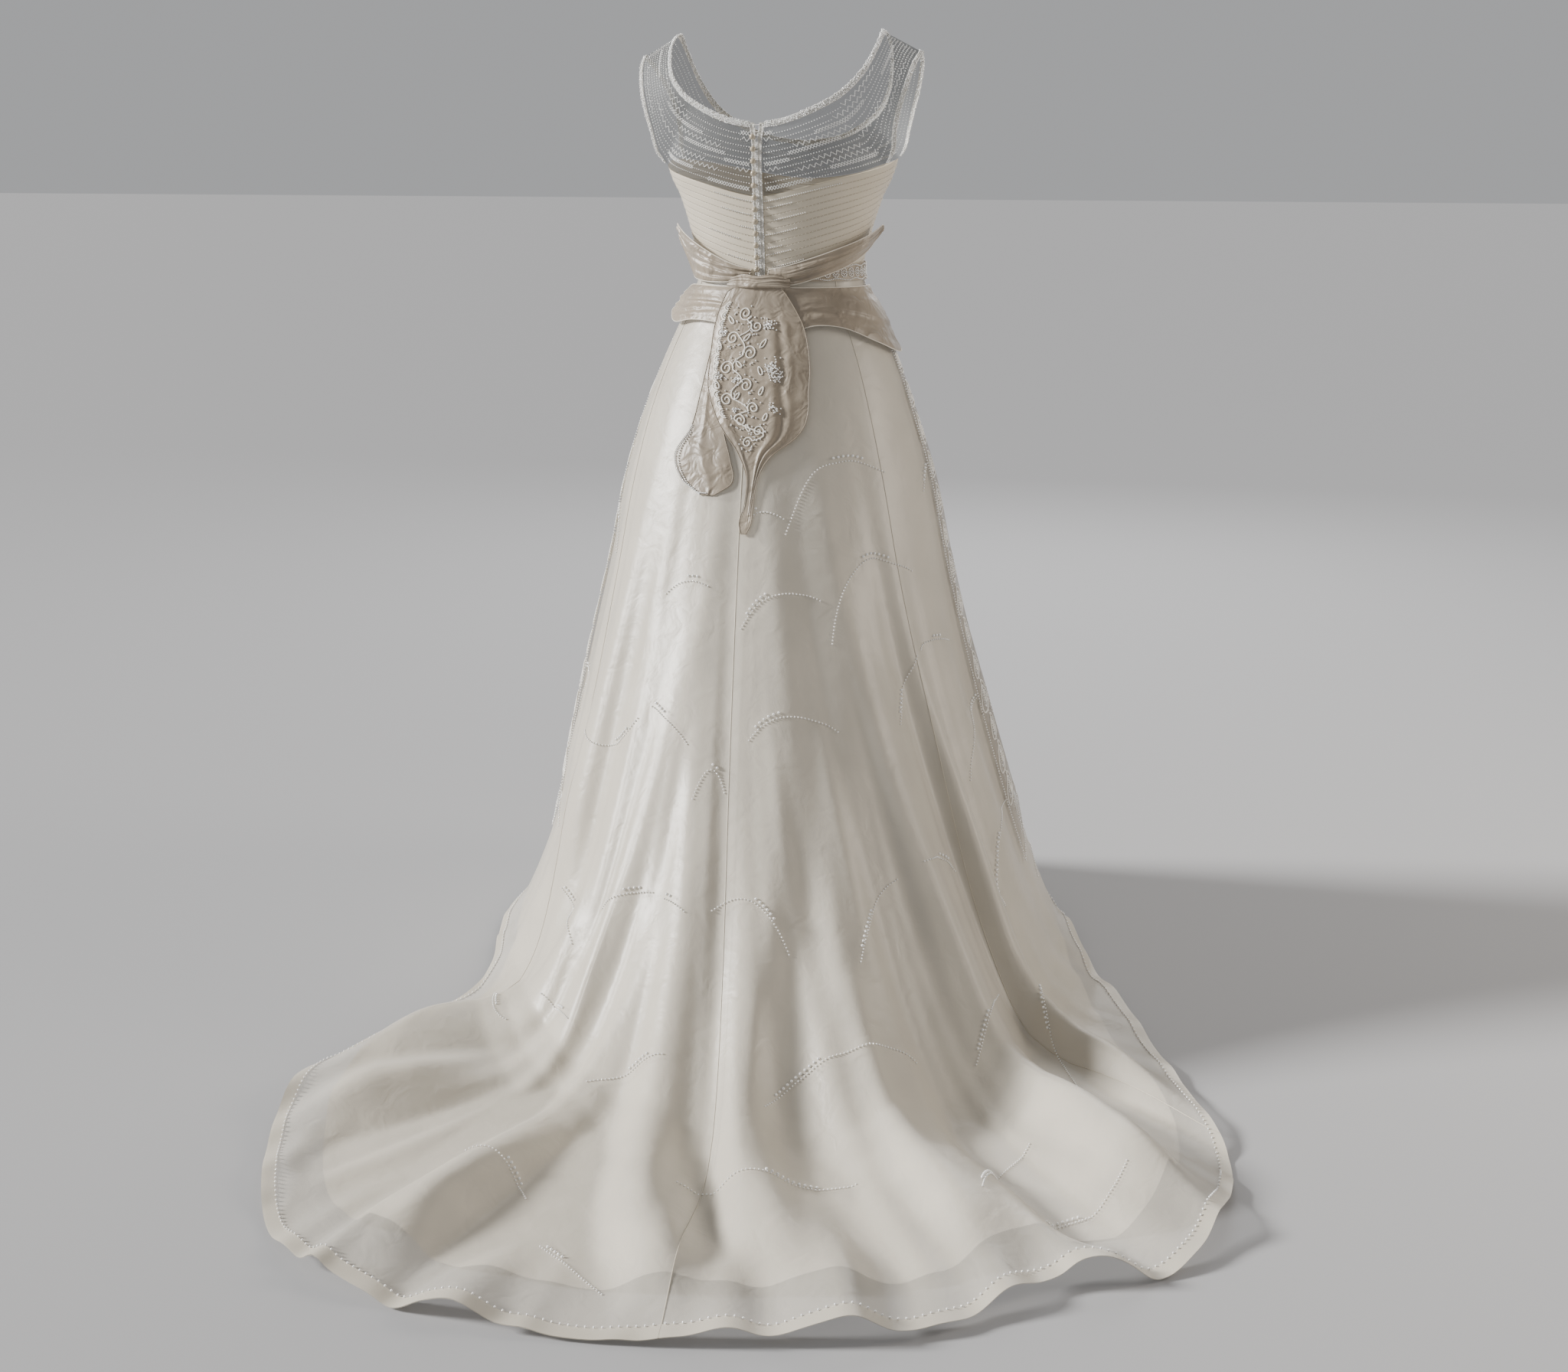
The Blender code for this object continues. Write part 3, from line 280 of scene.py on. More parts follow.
# Short ripples at the hem: station, height (troughs are negative) and half width in degrees
Ripple = namedtuple("Ripple", "station height wide")
RIPPLES = (
    Ripple(-70, 0.008, 2.2), Ripple(-61, 0.006, 1.8), Ripple(-52, 0.010, 2.4), Ripple(-46, -0.004, 1.6),
    Ripple(-36, 0.009, 2.0), Ripple(-31, 0.013, 1.5), Ripple(-24, 0.006, 2.2), Ripple(-18, -0.004, 1.6),
    Ripple(-11, 0.007, 1.8), Ripple(-3, 0.005, 1.6), Ripple(5, 0.007, 2.2), Ripple(14, 0.008, 1.7),
    Ripple(20, 0.005, 1.6), Ripple(27, -0.004, 1.8), Ripple(33, 0.010, 1.5), Ripple(38, 0.007, 1.8),
    Ripple(49, 0.008, 1.6), Ripple(56, 0.006, 1.9), Ripple(66, 0.007, 2.2), Ripple(75, 0.006, 2.0),
    Ripple(92, 0.005, 2.6), Ripple(115, 0.006, 3.0), Ripple(139, 0.005, 2.8), Ripple(171, 0.006, 3.0),
    Ripple(-168, 0.005, 2.8), Ripple(-143, 0.006, 3.0), Ripple(-118, 0.005, 2.6), Ripple(-92, 0.006, 2.4),
)

# Rows of beads over the skirt: station and share of the length at the start, middle and end
Arc = namedtuple("Arc", "first first_share middle middle_share last last_share")
ARCS = (
    Arc(18, 0.212, 40, 0.152, 66, 0.184), Arc(2, 0.204, 9, 0.192, 18, 0.198),
    Arc(31, 0.314, 47, 0.240, 72, 0.300), Arc(2, 0.292, 14, 0.262, 29, 0.274),
    Arc(-29, 0.258, -20, 0.246, -10, 0.252), Arc(5, 0.388, 16, 0.366, 29, 0.390),
    Arc(-58, 0.440, -44, 0.404, -31, 0.360), Arc(-27, 0.350, -19, 0.362, -12, 0.384),
    Arc(-9, 0.432, -5, 0.408, -1, 0.430), Arc(50, 0.390, 57, 0.370, 65, 0.360),
    Arc(67, 0.366, 76, 0.388, 86, 0.424), Arc(-57, 0.600, -49, 0.574, -41, 0.580),
    Arc(-33, 0.530, -26, 0.512, -17, 0.508), Arc(-14, 0.514, -11, 0.520, -8, 0.530),
    Arc(-3, 0.530, 6, 0.526, 12, 0.572), Arc(24, 0.590, 30, 0.546, 38, 0.514),
    Arc(44, 0.500, 52, 0.516, 60, 0.552), Arc(7, 0.706, 17, 0.664, 31, 0.690),
    Arc(-23, 0.690, -16, 0.668, -9, 0.660), Arc(-60, 0.780, -55, 0.756, -51, 0.728),
    Arc(-3, 0.812, 7, 0.806, 17, 0.800), Arc(29, 0.892, 34, 0.846, 41, 0.806),
    Arc(-29, 0.838, -24, 0.826, -19, 0.846), Arc(-14, 0.900, -10, 0.922, -6, 0.948),
    Arc(-47, 0.660, -41, 0.640, -34, 0.636), Arc(42, 0.690, 50, 0.664, 59, 0.670),
    Arc(58, 0.815, 66, 0.790, 74, 0.784), Arc(34, 0.930, 40, 0.912, 46, 0.905),
    Arc(78, 0.560, 90, 0.536, 100, 0.550), Arc(72, 0.680, 86, 0.664, 97, 0.690),
    Arc(104, 0.850, 118, 0.822, 134, 0.840), Arc(146, 0.900, 160, 0.872, 174, 0.890),
    Arc(-172, 0.860, -158, 0.836, -144, 0.850), Arc(-136, 0.910, -124, 0.880, -112, 0.890),
    Arc(-104, 0.760, -92, 0.730, -80, 0.740), Arc(-98, 0.560, -86, 0.530, -74, 0.545),
    Arc(-96, 0.330, -84, 0.304, -70, 0.318), Arc(88, 0.250, 98, 0.232, 108, 0.246),
)

# Stretches of the yoke's bead rows that aren't plain dots, by row from the neck and by u
Trim = namedtuple("Trim", "row first last kind")
BACK_TRIMS = (
    Trim(1, 0.02, 0.12, "diamonds"), Trim(1, 0.52, 0.74, "zigzag"),
    Trim(2, 0.02, 0.10, "zigzag"), Trim(2, 0.46, 0.66, "zigzag"),
    Trim(3, 0.36, 0.62, "diamonds"), Trim(4, 0.24, 0.50, "zigzag"), Trim(4, 0.76, 0.92, "diamonds"),
    Trim(5, 0.20, 0.44, "diamonds"), Trim(6, 0.02, 0.20, "diamonds"), Trim(6, 0.50, 0.70, "zigzag"),
    Trim(7, 0.02, 0.12, "zigzag"), Trim(7, 0.30, 0.48, "zigzag"), Trim(8, 0.22, 0.50, "zigzag"),
    Trim(9, 0.34, 0.52, "diamonds"), Trim(9, 0.70, 0.90, "zigzag"), Trim(10, 0.02, 0.26, "diamonds"),
)
FRONT_TRIMS = (
    Trim(1, 0.00, 0.10, "diamonds"), Trim(2, 0.30, 0.52, "zigzag"), Trim(3, 0.06, 0.28, "diamonds"),
    Trim(4, 0.40, 0.60, "diamonds"), Trim(5, 0.00, 0.16, "zigzag"), Trim(6, 0.26, 0.46, "diamonds"),
)
BACK_ROWS, FRONT_ROWS = 10, 6

# Scrolls embroidered on the long tail: the eye's distance from the centre, its height, the
# outer radius, turns (negative winds the other way) and the angle at which the scroll opens
Scroll = namedtuple("Scroll", "aside height radius turns opens")
SCROLLS = (
    Scroll(0.000, 1.006, 0.0105, 1.6, 200), Scroll(-0.020, 0.988, 0.0085, -1.4, 20),
    Scroll(0.014, 0.970, 0.0095, -1.5, 160), Scroll(-0.016, 0.950, 0.0110, 1.6, 340),
    Scroll(0.016, 0.928, 0.0105, -1.6, 190), Scroll(-0.018, 0.905, 0.0100, 1.5, 20),
    Scroll(0.010, 0.884, 0.0095, -1.5, 170), Scroll(-0.030, 0.874, 0.0085, 1.4, 330),
    Scroll(-0.008, 0.856, 0.0095, 1.5, 10), Scroll(-0.036, 0.842, 0.0080, -1.4, 200),
    Scroll(-0.022, 0.826, 0.0078, -1.4, 160),
)
Leaf = namedtuple("Leaf", "aside height length turn")
LEAVES = (
    Leaf(0.021, 0.996, 0.013, 50), Leaf(-0.008, 0.972, 0.012, 130), Leaf(0.032, 0.958, 0.012, 70),
    Leaf(-0.034, 0.964, 0.013, 120), Leaf(-0.002, 0.934, 0.012, 40), Leaf(0.034, 0.934, 0.011, 100),
    Leaf(-0.036, 0.926, 0.013, 60), Leaf(-0.042, 0.898, 0.012, 110), Leaf(0.026, 0.904, 0.012, 60),
    Leaf(-0.006, 0.890, 0.011, 130), Leaf(-0.020, 0.846, 0.011, 50), Leaf(-0.046, 0.862, 0.011, 120),
)
# Clusters of beads on the long tail: place, radius and how many
Cluster = namedtuple("Cluster", "aside height radius beads")
CLUSTERS = (
    Cluster(-0.052, 0.930, 0.0130, 60), Cluster(-0.062, 0.918, 0.0090, 34),
    Cluster(-0.040, 0.990, 0.0100, 34), Cluster(-0.060, 0.874, 0.0090, 26),
    Cluster(0.030, 0.978, 0.0070, 18), Cluster(0.026, 0.916, 0.0070, 18),
    Cluster(-0.002, 0.912, 0.0070, 20), Cluster(0.000, 0.870, 0.0070, 16),
)


def curve(rows, key, field, at):
    """Values of one column at places between the rows, on a smooth curve through them."""
    keys = np.array([getattr(row, key) for row in rows], float)
    values = np.array([getattr(row, field) for row in rows], float)
    return curve_through(keys, values, at)


def curve_through(keys, values, at):
    last = len(keys) - 1
    at = np.clip(at, keys[0], keys[-1])
    i = np.clip(np.searchsorted(keys, at, side="right") - 1, 0, last - 1)
    order = np.arange(last + 1)
    before, after = np.maximum(order - 1, 0), np.minimum(order + 1, last)
    slopes = (values[after] - values[before]) / (keys[after] - keys[before])
    span = keys[i + 1] - keys[i]
    t = (at - keys[i]) / span
    return (values[i] * (2 * t ** 3 - 3 * t ** 2 + 1) + slopes[i] * span * (t ** 3 - 2 * t ** 2 + t)
            + values[i + 1] * (3 * t ** 2 - 2 * t ** 3) + slopes[i + 1] * span * (t ** 3 - t ** 2))


def along(rows, share):
    """Points on the smooth curve through the rows of a table of edges, by share of its rows."""
    table = np.array(rows, float)
    place = np.asarray(share) * (len(rows) - 1)
    keys = np.arange(len(rows), dtype=float)
    return np.stack([curve_through(keys, table[:, k], place) for k in range(3)], axis=-1)


def ease(low, high, value):
    """Smooth step from 0 at low to 1 at high."""
    t = np.clip((np.asarray(value, float) - low) / (high - low), 0.0, 1.0)
    return t * t * (3 - 2 * t)


def unit(vectors):
    return vectors / np.maximum(np.linalg.norm(vectors, axis=-1, keepdims=True), 1e-9)


def ring_radius(height, direction, turn=0.0, squareness=BODY_SQUARENESS):
    """Distance from the body's axis to the section's outline."""
    angle = np.radians(direction - turn)
    aside, back = np.sin(angle), np.cos(angle)
    side = np.where(aside > 0, curve(SECTIONS, "height", "right", height),
                    curve(SECTIONS, "height", "left", height))
    depth = np.where(back > 0, curve(SECTIONS, "height", "back", height),
                     curve(SECTIONS, "height", "front", height))
    return (np.abs(aside / side) ** squareness + np.abs(back / depth) ** squareness) ** (-1 / squareness)


def polar(direction, radius, height):
    angle = np.radians(direction)
    aside, back, height = np.broadcast_arrays(-radius * np.sin(angle), radius * np.cos(angle), height)
    return np.stack([aside, back, height], axis=-1)


def bust(direction, height):
    """Fullness of the two cups."""
    cup_direction, cup_height, cup_size, fullness = 27.0, 1.196, 0.052, 0.013
    turn = np.abs((direction + 180.0) % 360.0 - 180.0)
    aside = np.radians(180.0 - turn - cup_direction) * 0.15
    return fullness * np.exp(-(aside ** 2 + (height - cup_height) ** 2) / cup_size ** 2)


def body_point(direction, height, out=0.0):
    return polar(direction, ring_radius(height, direction) + bust(direction, height) + out, height)


def bodice_top(direction):
    """Height of the upper edge of the opaque bodice."""
    turn = np.abs((direction + 180.0) % 360.0 - 180.0)
    back = BACK_TOP_CENTRE + (UNDERARM_HEIGHT - BACK_TOP_CENTRE) * (turn / SIDE_SEAM) ** 1.5
    swing = np.sin(np.maximum(turn - SIDE_SEAM, 0.0) / (180.0 - SIDE_SEAM) * math.pi / 2) ** 2
    return np.where(turn <= SIDE_SEAM, back, UNDERARM_HEIGHT + (FRONT_TOP_CENTRE - UNDERARM_HEIGHT) * swing)


def placket_edge(height):
    """Distance of a placket's inner edge from the centre back."""
    return SEAM_GAP + PLACKET_OPENING * ease(PLACKET_OPEN_FROM, PLACKET_TOP, height)


def centre_back(aside, height, out=0.0):
    """A point on the flat strip down the centre back."""
    aside, back, height = np.broadcast_arrays(aside, ring_radius(height, 0.0) + out, height)
    return np.stack([aside, back, height], axis=-1)


def placket_direction(height):
    edge = placket_edge(height) + PLACKET_WIDTH + SEAM_GAP
    return np.degrees(np.arctan2(edge, ring_radius(height, 0.0)))


def yoke_point(u, v, back, side):
    """The yoke's surface: u from the centre line to the shoulder seam, v up to the neck."""
    neckline, armhole = (BACK_NECKLINE, BACK_ARMHOLE) if back else (FRONT_NECKLINE, FRONT_ARMHOLE)
    first, last = 180.0, FRONT_YOKE_END
    if back:
        first, last = placket_direction(BACK_TOP_CENTRE), BACK_YOKE_END

    def neck(share):
        start = NECK_START if back else 0.0
        point = along(neckline, start + (1.0 - start) * share ** NECK_LEAN)
        if back:
            least = placket_edge(point[..., 2]) + PLACKET_WIDTH + SEAM_GAP
            point[..., 0] = np.maximum(point[..., 0], least)
        return point

    def bodice_edge(share):
        direction = first + (last - first) * share
        point = body_point(direction, bodice_top(direction) + 3 * SEAM_GAP)
        point[..., 0] = np.abs(point[..., 0])
        return point

    def lower(share):
        arm = along((Edge(*bodice_edge(np.array(1.0))),) + armhole,
                    np.maximum(share - UNDERARM, 0.0) / (1.0 - UNDERARM))
        on_bodice = (share <= UNDERARM)[..., None]
        return np.where(on_bodice, bodice_edge(np.minimum(share / UNDERARM, 1.0)), arm)

    u, v = np.broadcast_arrays(np.asarray(u, float), np.asarray(v, float))
    low, high = lower(np.array(0.0)), neck(np.array(0.0))
    height = low[2] + (high[2] - low[2]) * v
    if back:
        centre = centre_back(placket_edge(height) + PLACKET_WIDTH + SEAM_GAP, height)
    else:
        centre = np.stack([0.0 * v, low[1] + (high[1] - low[1]) * v, height], axis=-1)
    straight = low + (high - low) * v[..., None]
    point = lower(u) * (1.0 - v[..., None]) + neck(u) * v[..., None]
    point = point + (centre - straight) * (1.0 - u[..., None])
    facing = 1 if back else -1
    point[..., 1] += facing * (0.007 * np.sin(math.pi * u) * np.sin(math.pi * v))
    point[..., 0] *= -side
    return point


def hem_direction(station):
    return curve(HEM, "station", "direction", station)


BEND_REACH, BEND_WIDE = 0.045, 0.07


def skirt_base(station, share):
    """The skirt without its folds, by waist station and share of the cloth's length."""
    end = hem_direction(station)
    hem_reach = curve(HEM, "station", "reach", station)
    waist = ring_radius(WAIST_HEIGHT, station)
    contact = np.minimum(ring_radius(0.0, end, TRAIN_TURN, 2.0), hem_reach - 0.004)
    fall = np.hypot(WAIST_HEIGHT, contact - waist)
    fall_share = fall / (fall + hem_reach - contact)
    lying = polar(end, contact + (hem_reach - contact) * np.clip((share - fall_share)
                                                                 / (1.0 - fall_share), 0.0, 1.0),
                  OVERSKIRT_FLOOR)
    t = np.minimum(share / fall_share, 1.0)
    moved = 1.0 - (1.0 - t) ** 1.7
    fallen = (1.0 - t) ** (1.05 * fall / WAIST_HEIGHT)
    direction = station + (end - station) * moved
    turn = TRAIN_TURN * moved
    radius = ring_radius(WAIST_HEIGHT * fallen, direction, turn, BODY_SQUARENESS - 0.15 * moved)
    reach = ring_radius(0.0, direction, turn, 2.0)
    radius = radius * (1.0 + (np.minimum(contact / reach, 1.0) - 1.0) * moved)
    falling = polar(direction, radius, OVERSKIRT_FLOOR + (WAIST_HEIGHT - OVERSKIRT_FLOOR) * fallen)
    return np.where((share >= fall_share)[..., None], lying, falling), fall_share


def skirt_sweep(station, share):
    """The plain skirt with a soft bend where it reaches the floor."""
    point, fall_share = skirt_base(station, share)
    reach = BEND_REACH * np.exp(-((share - fall_share) / BEND_WIDE) ** 2)
    before, _ = skirt_base(station, np.clip(share - reach, 0.0, 1.0))
    after, _ = skirt_base(station, np.clip(share + reach, 0.0, 1.0))
    return 0.4 * point + 0.3 * before + 0.3 * after


def fold_height(station, share):
    """How far the folds and small creases push the cloth off its plain form."""
    total = np.zeros(np.broadcast(station, share).shape)
    lying = ease(0.70, 0.86, share)
    for fold in FOLDS:
        crest = curve_through(np.array(CREST_SHARES), np.array(fold[:5], float), share)
        x = ((station - crest + 180.0) % 360.0 - 180.0) / (fold.wide * 1.35)
        inside = np.abs(x) < 1.0
        x = x + fold.lean * 0.35 * (1.0 - x * x)
        grown = ease(fold.start, fold.start + 0.45, share)
        depth = fold.fall * (1.0 - lying) + 1.35 * fold.floor * lying * (1.0 - 0.75 * ease(0.88, 1.0, share))
        total += np.where(inside, depth * grown * np.cos(x * math.pi / 2) ** 2, 0.0)
    for lift in LIFTS:
        x = ((station - lift.station + 180.0) % 360.0 - 180.0) / (lift.wide * 1.3)
        bump = lift.height * ease(lift.start, 1.0, share) * np.cos(x * math.pi / 2) ** 2
        total += np.where(np.abs(x) < 1.0, bump, 0.0)
    for crease in CREASES:
        crest = crease.high + (crease.low - crease.high) * (share - 0.33) / 0.67
        x = ((station - crest + 180.0) % 360.0 - 180.0) / crease.wide
        grown = ease(crease.start, crease.start + 0.3, share) * (1.0 - 0.4 * ease(0.9, 1.0, share))
        total += crease.depth * grown * (1.2 + 1.1 * ease(0.55, 0.8, share)) * np.exp(-x * x)
    for ripple in RIPPLES:
        x = ((station - ripple.station + 180.0) % 360.0 - 180.0) / ripple.wide
        total += ripple.height * ease(0.86, 0.99, share) * np.exp(-x * x)
    return total


def skirt_point(station, share):
    """The skirt's outer surface: folds push it outwards in the fall and upwards on the floor."""
    station, share = np.broadcast_arrays(np.asarray(station, float), np.asarray(share, float))
    station = (station + 180.0) % 360.0 - 180.0
    point = skirt_sweep(station, share)
    rising = ease(0.30, 0.88, share)[..., None]
    push = unit(point * (1.0, 1.0, 0.0)) * (1.0 - rising) + np.array((0.0, 0.0, 1.0)) * rising
    point = point + unit(push) * fold_height(station, share)[..., None]
    floor = OVERSKIRT_FLOOR - HEM_DROP * ease(UNDERSKIRT_END + 0.01, 1.0, share)
    point[..., 2] = np.maximum(point[..., 2], floor)
    return point


def outward(surface, a, b, step_a, step_b):
    """Unit normals of a surface of two places, on the side away from the body."""
    along_a = surface(a + step_a, b) - surface(a - step_a, b)
    along_b = surface(a, b + step_b) - surface(a, b - step_b)
    normals = unit(np.cross(along_a, along_b))
    points = surface(a, b)
    away = unit(points * (1.0, 1.0, 0.0)) + np.array((0.0, 0.0, 0.2))
    if np.median((normals * away).sum(axis=-1)) < 0:
        normals = -normals
    return normals


def skirt_normal(station, share):
    """Outward unit normals of the skirt, upwards where it lies on the floor."""
    low, high = np.clip(share - 0.004, 0.0, 1.0), np.clip(share + 0.004, 0.0, 1.0)
    down = skirt_point(station, high) - skirt_point(station, low)
    aside = skirt_point(station + 0.4, share) - skirt_point(station - 0.4, share)
    return unit(np.cross(down, aside))


STATION_STEPS = np.linspace(-75.0, 75.0, 301)
HEIGHT_STEPS = np.linspace(0.60, 1.06, 185)


def back_table():
    """Distance from the centre and share of the length, by height and waist station."""
    shares = np.linspace(0.0, 0.6, 241)
    points = skirt_point(STATION_STEPS[None, :], shares[:, None])[::-1]
    table = np.empty((len(HEIGHT_STEPS), len(STATION_STEPS), 2))
    for column in range(len(STATION_STEPS)):
        heights = points[:, column, 2]
        table[:, column, 0] = np.interp(HEIGHT_STEPS, heights, points[:, column, 0])
        table[:, column, 1] = np.interp(HEIGHT_STEPS, heights, shares[::-1])
    return table


SKIRT_BACK = back_table()


def over_skirt(aside, height, out):
    """Points off the back of the skirt, by their distance from the centre and their height."""
    aside, height, out = np.broadcast_arrays(*(np.asarray(x, float) for x in (aside, height, out)))
    level = np.interp(height, HEIGHT_STEPS, np.arange(len(HEIGHT_STEPS)))
    below = np.minimum(level.astype(int), len(HEIGHT_STEPS) - 2)
    part = (level - below)[..., None]
    asides = SKIRT_BACK[below, :, 0] * (1 - part) + SKIRT_BACK[below + 1, :, 0] * part
    shares = SKIRT_BACK[below, :, 1] * (1 - part) + SKIRT_BACK[below + 1, :, 1] * part
    column = np.clip((asides > aside[..., None]).sum(axis=-1) - 1, 0, len(STATION_STEPS) - 2)[..., None]
    near, far = np.take_along_axis(asides, column, -1), np.take_along_axis(asides, column + 1, -1)
    t = np.clip((near[..., 0] - aside) / (near[..., 0] - far[..., 0]), 0.0, 1.0)
    station = STATION_STEPS[column[..., 0]] + (STATION_STEPS[1] - STATION_STEPS[0]) * t
    share = (np.take_along_axis(shares, column, -1)[..., 0] * (1 - t)
             + np.take_along_axis(shares, column + 1, -1)[..., 0] * t)
    return skirt_point(station, share) + skirt_normal(station, share) * out[..., None]


# Making meshes

def lowered(points):
    return np.asarray(points, float).reshape(-1, 3) - (0.0, 0.0, SHOULDER_HEIGHT)


def piece(name, mesh, look):
    made = bpy.data.objects.new(name, mesh)
    made.data.materials.append(look)
    bpy.context.scene.collection.objects.link(made)
    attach(made, "root")
    return made


def shell(name, points, look, nodes=(), uv=None):
    """A thin shell through a grid of points, with its own lengths as texture coordinates."""
    rows, columns = points.shape[:2]
    order = np.arange(rows * columns).reshape(rows, columns)
    quads = np.stack([order[:-1, :-1], order[:-1, 1:], order[1:, 1:], order[1:, :-1]], axis=-1)
    middle = points[rows // 2, columns // 2]
    across = points[rows // 2, columns // 2 + 1] - middle
    upward = points[rows // 2 + 1, columns // 2] - middle
    away = middle * (1.0, 1.0, 0.0) / np.hypot(middle[0], middle[1]) + np.array((0.0, 0.0, 0.3))
    if np.cross(across, upward) @ away < 0:
        quads = quads[..., ::-1]
    mesh = bpy.data.meshes.new(name)
    mesh.from_pydata(lowered(points).tolist(), [], quads.reshape(-1, 4).tolist())
    if uv is None:
        run_across = np.linalg.norm(np.diff(points, axis=1), axis=-1).cumsum(axis=1)
        run_along = np.linalg.norm(np.diff(points, axis=0), axis=-1).cumsum(axis=0)
        uv = np.stack([np.pad(run_across, ((0, 0), (1, 0))), np.pad(run_along, ((1, 0), (0, 0)))], axis=-1)
    layer = mesh.uv_layers.new(name="cloth")
    corners = np.empty(len(mesh.loops), dtype=np.int32)
    mesh.loops.foreach_get("vertex_index", corners)
    layer.data.foreach_set("uv", uv.reshape(-1, 2)[corners].ravel())
    mesh.shade_smooth()
    made = piece(name, mesh, look)
    if nodes:
        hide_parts(*nodes)
    return made


def tube(name, lines, radius, look, sides=6):
    """Round threads along lines of points, all in one piece."""
    turns = np.linspace(0.0, 2 * math.pi, sides, endpoint=False)
    points, quads, start = [], [], 0
    for line in lines:
        line = np.asarray(line, float)
        run = unit(np.gradient(line, axis=0))
        side = unit(np.cross(run, (0.31, 0.17, 0.93)))
        other = np.cross(run, side)
        ring = (np.cos(turns)[:, None] * side[:, None, :] + np.sin(turns)[:, None] * other[:, None, :])
        points.append((line[:, None, :] + ring * radius).reshape(-1, 3))
        order = start + np.arange(len(line) * sides).reshape(len(line), sides)
        shifted = np.roll(order, -1, axis=1)
        quads.append(np.stack([order[:-1], shifted[:-1], shifted[1:], order[1:]], axis=-1).reshape(-1, 4))
        start += len(line) * sides
    mesh = bpy.data.meshes.new(name)
    mesh.from_pydata(lowered(np.concatenate(points)).tolist(), [], np.concatenate(quads).tolist())
    mesh.shade_smooth()
    return piece(name, mesh, look)


GOLDEN = (1 + 5 ** 0.5) / 2
BEAD_POINTS = unit(np.array([
    (-1, GOLDEN, 0), (1, GOLDEN, 0), (-1, -GOLDEN, 0), (1, -GOLDEN, 0),
    (0, -1, GOLDEN), (0, 1, GOLDEN), (0, -1, -GOLDEN), (0, 1, -GOLDEN),
    (GOLDEN, 0, -1), (GOLDEN, 0, 1), (-GOLDEN, 0, -1), (-GOLDEN, 0, 1)], float))
BEAD_FACES = np.array([
    (0, 11, 5), (0, 5, 1), (0, 1, 7), (0, 7, 10), (0, 10, 11), (1, 5, 9), (5, 11, 4), (11, 10, 2),
    (10, 7, 6), (7, 1, 8), (3, 9, 4), (3, 4, 2), (3, 2, 6), (3, 6, 8), (3, 8, 9), (4, 9, 5),
    (2, 4, 11), (6, 2, 10), (8, 6, 7), (9, 8, 1)])


def beads(name, places, radius, look):
    """Small beads at places, all in one piece."""
    places = np.concatenate([np.asarray(p, float).reshape(-1, 3) for p in places])
    sizes = np.broadcast_to(radius, (len(places),))[:, None, None]
    points = (places[:, None, :] + BEAD_POINTS * sizes).reshape(-1, 3)
    faces = (np.arange(len(places))[:, None, None] * 12 + BEAD_FACES).reshape(-1, 3)
    mesh = bpy.data.meshes.new(name)
    mesh.from_pydata(lowered(points).tolist(), [], faces.tolist())
    mesh.shade_smooth()
    return piece(name, mesh, look)


def spaced(points, gap):
    """Points a gap apart along a line of close points."""
    run = np.concatenate(([0.0], np.linalg.norm(np.diff(points, axis=0), axis=-1).cumsum()))
    at = np.arange(gap / 2, run[-1], gap)
    return np.stack([np.interp(at, run, points[:, k]) for k in range(3)], axis=-1)


# Materials

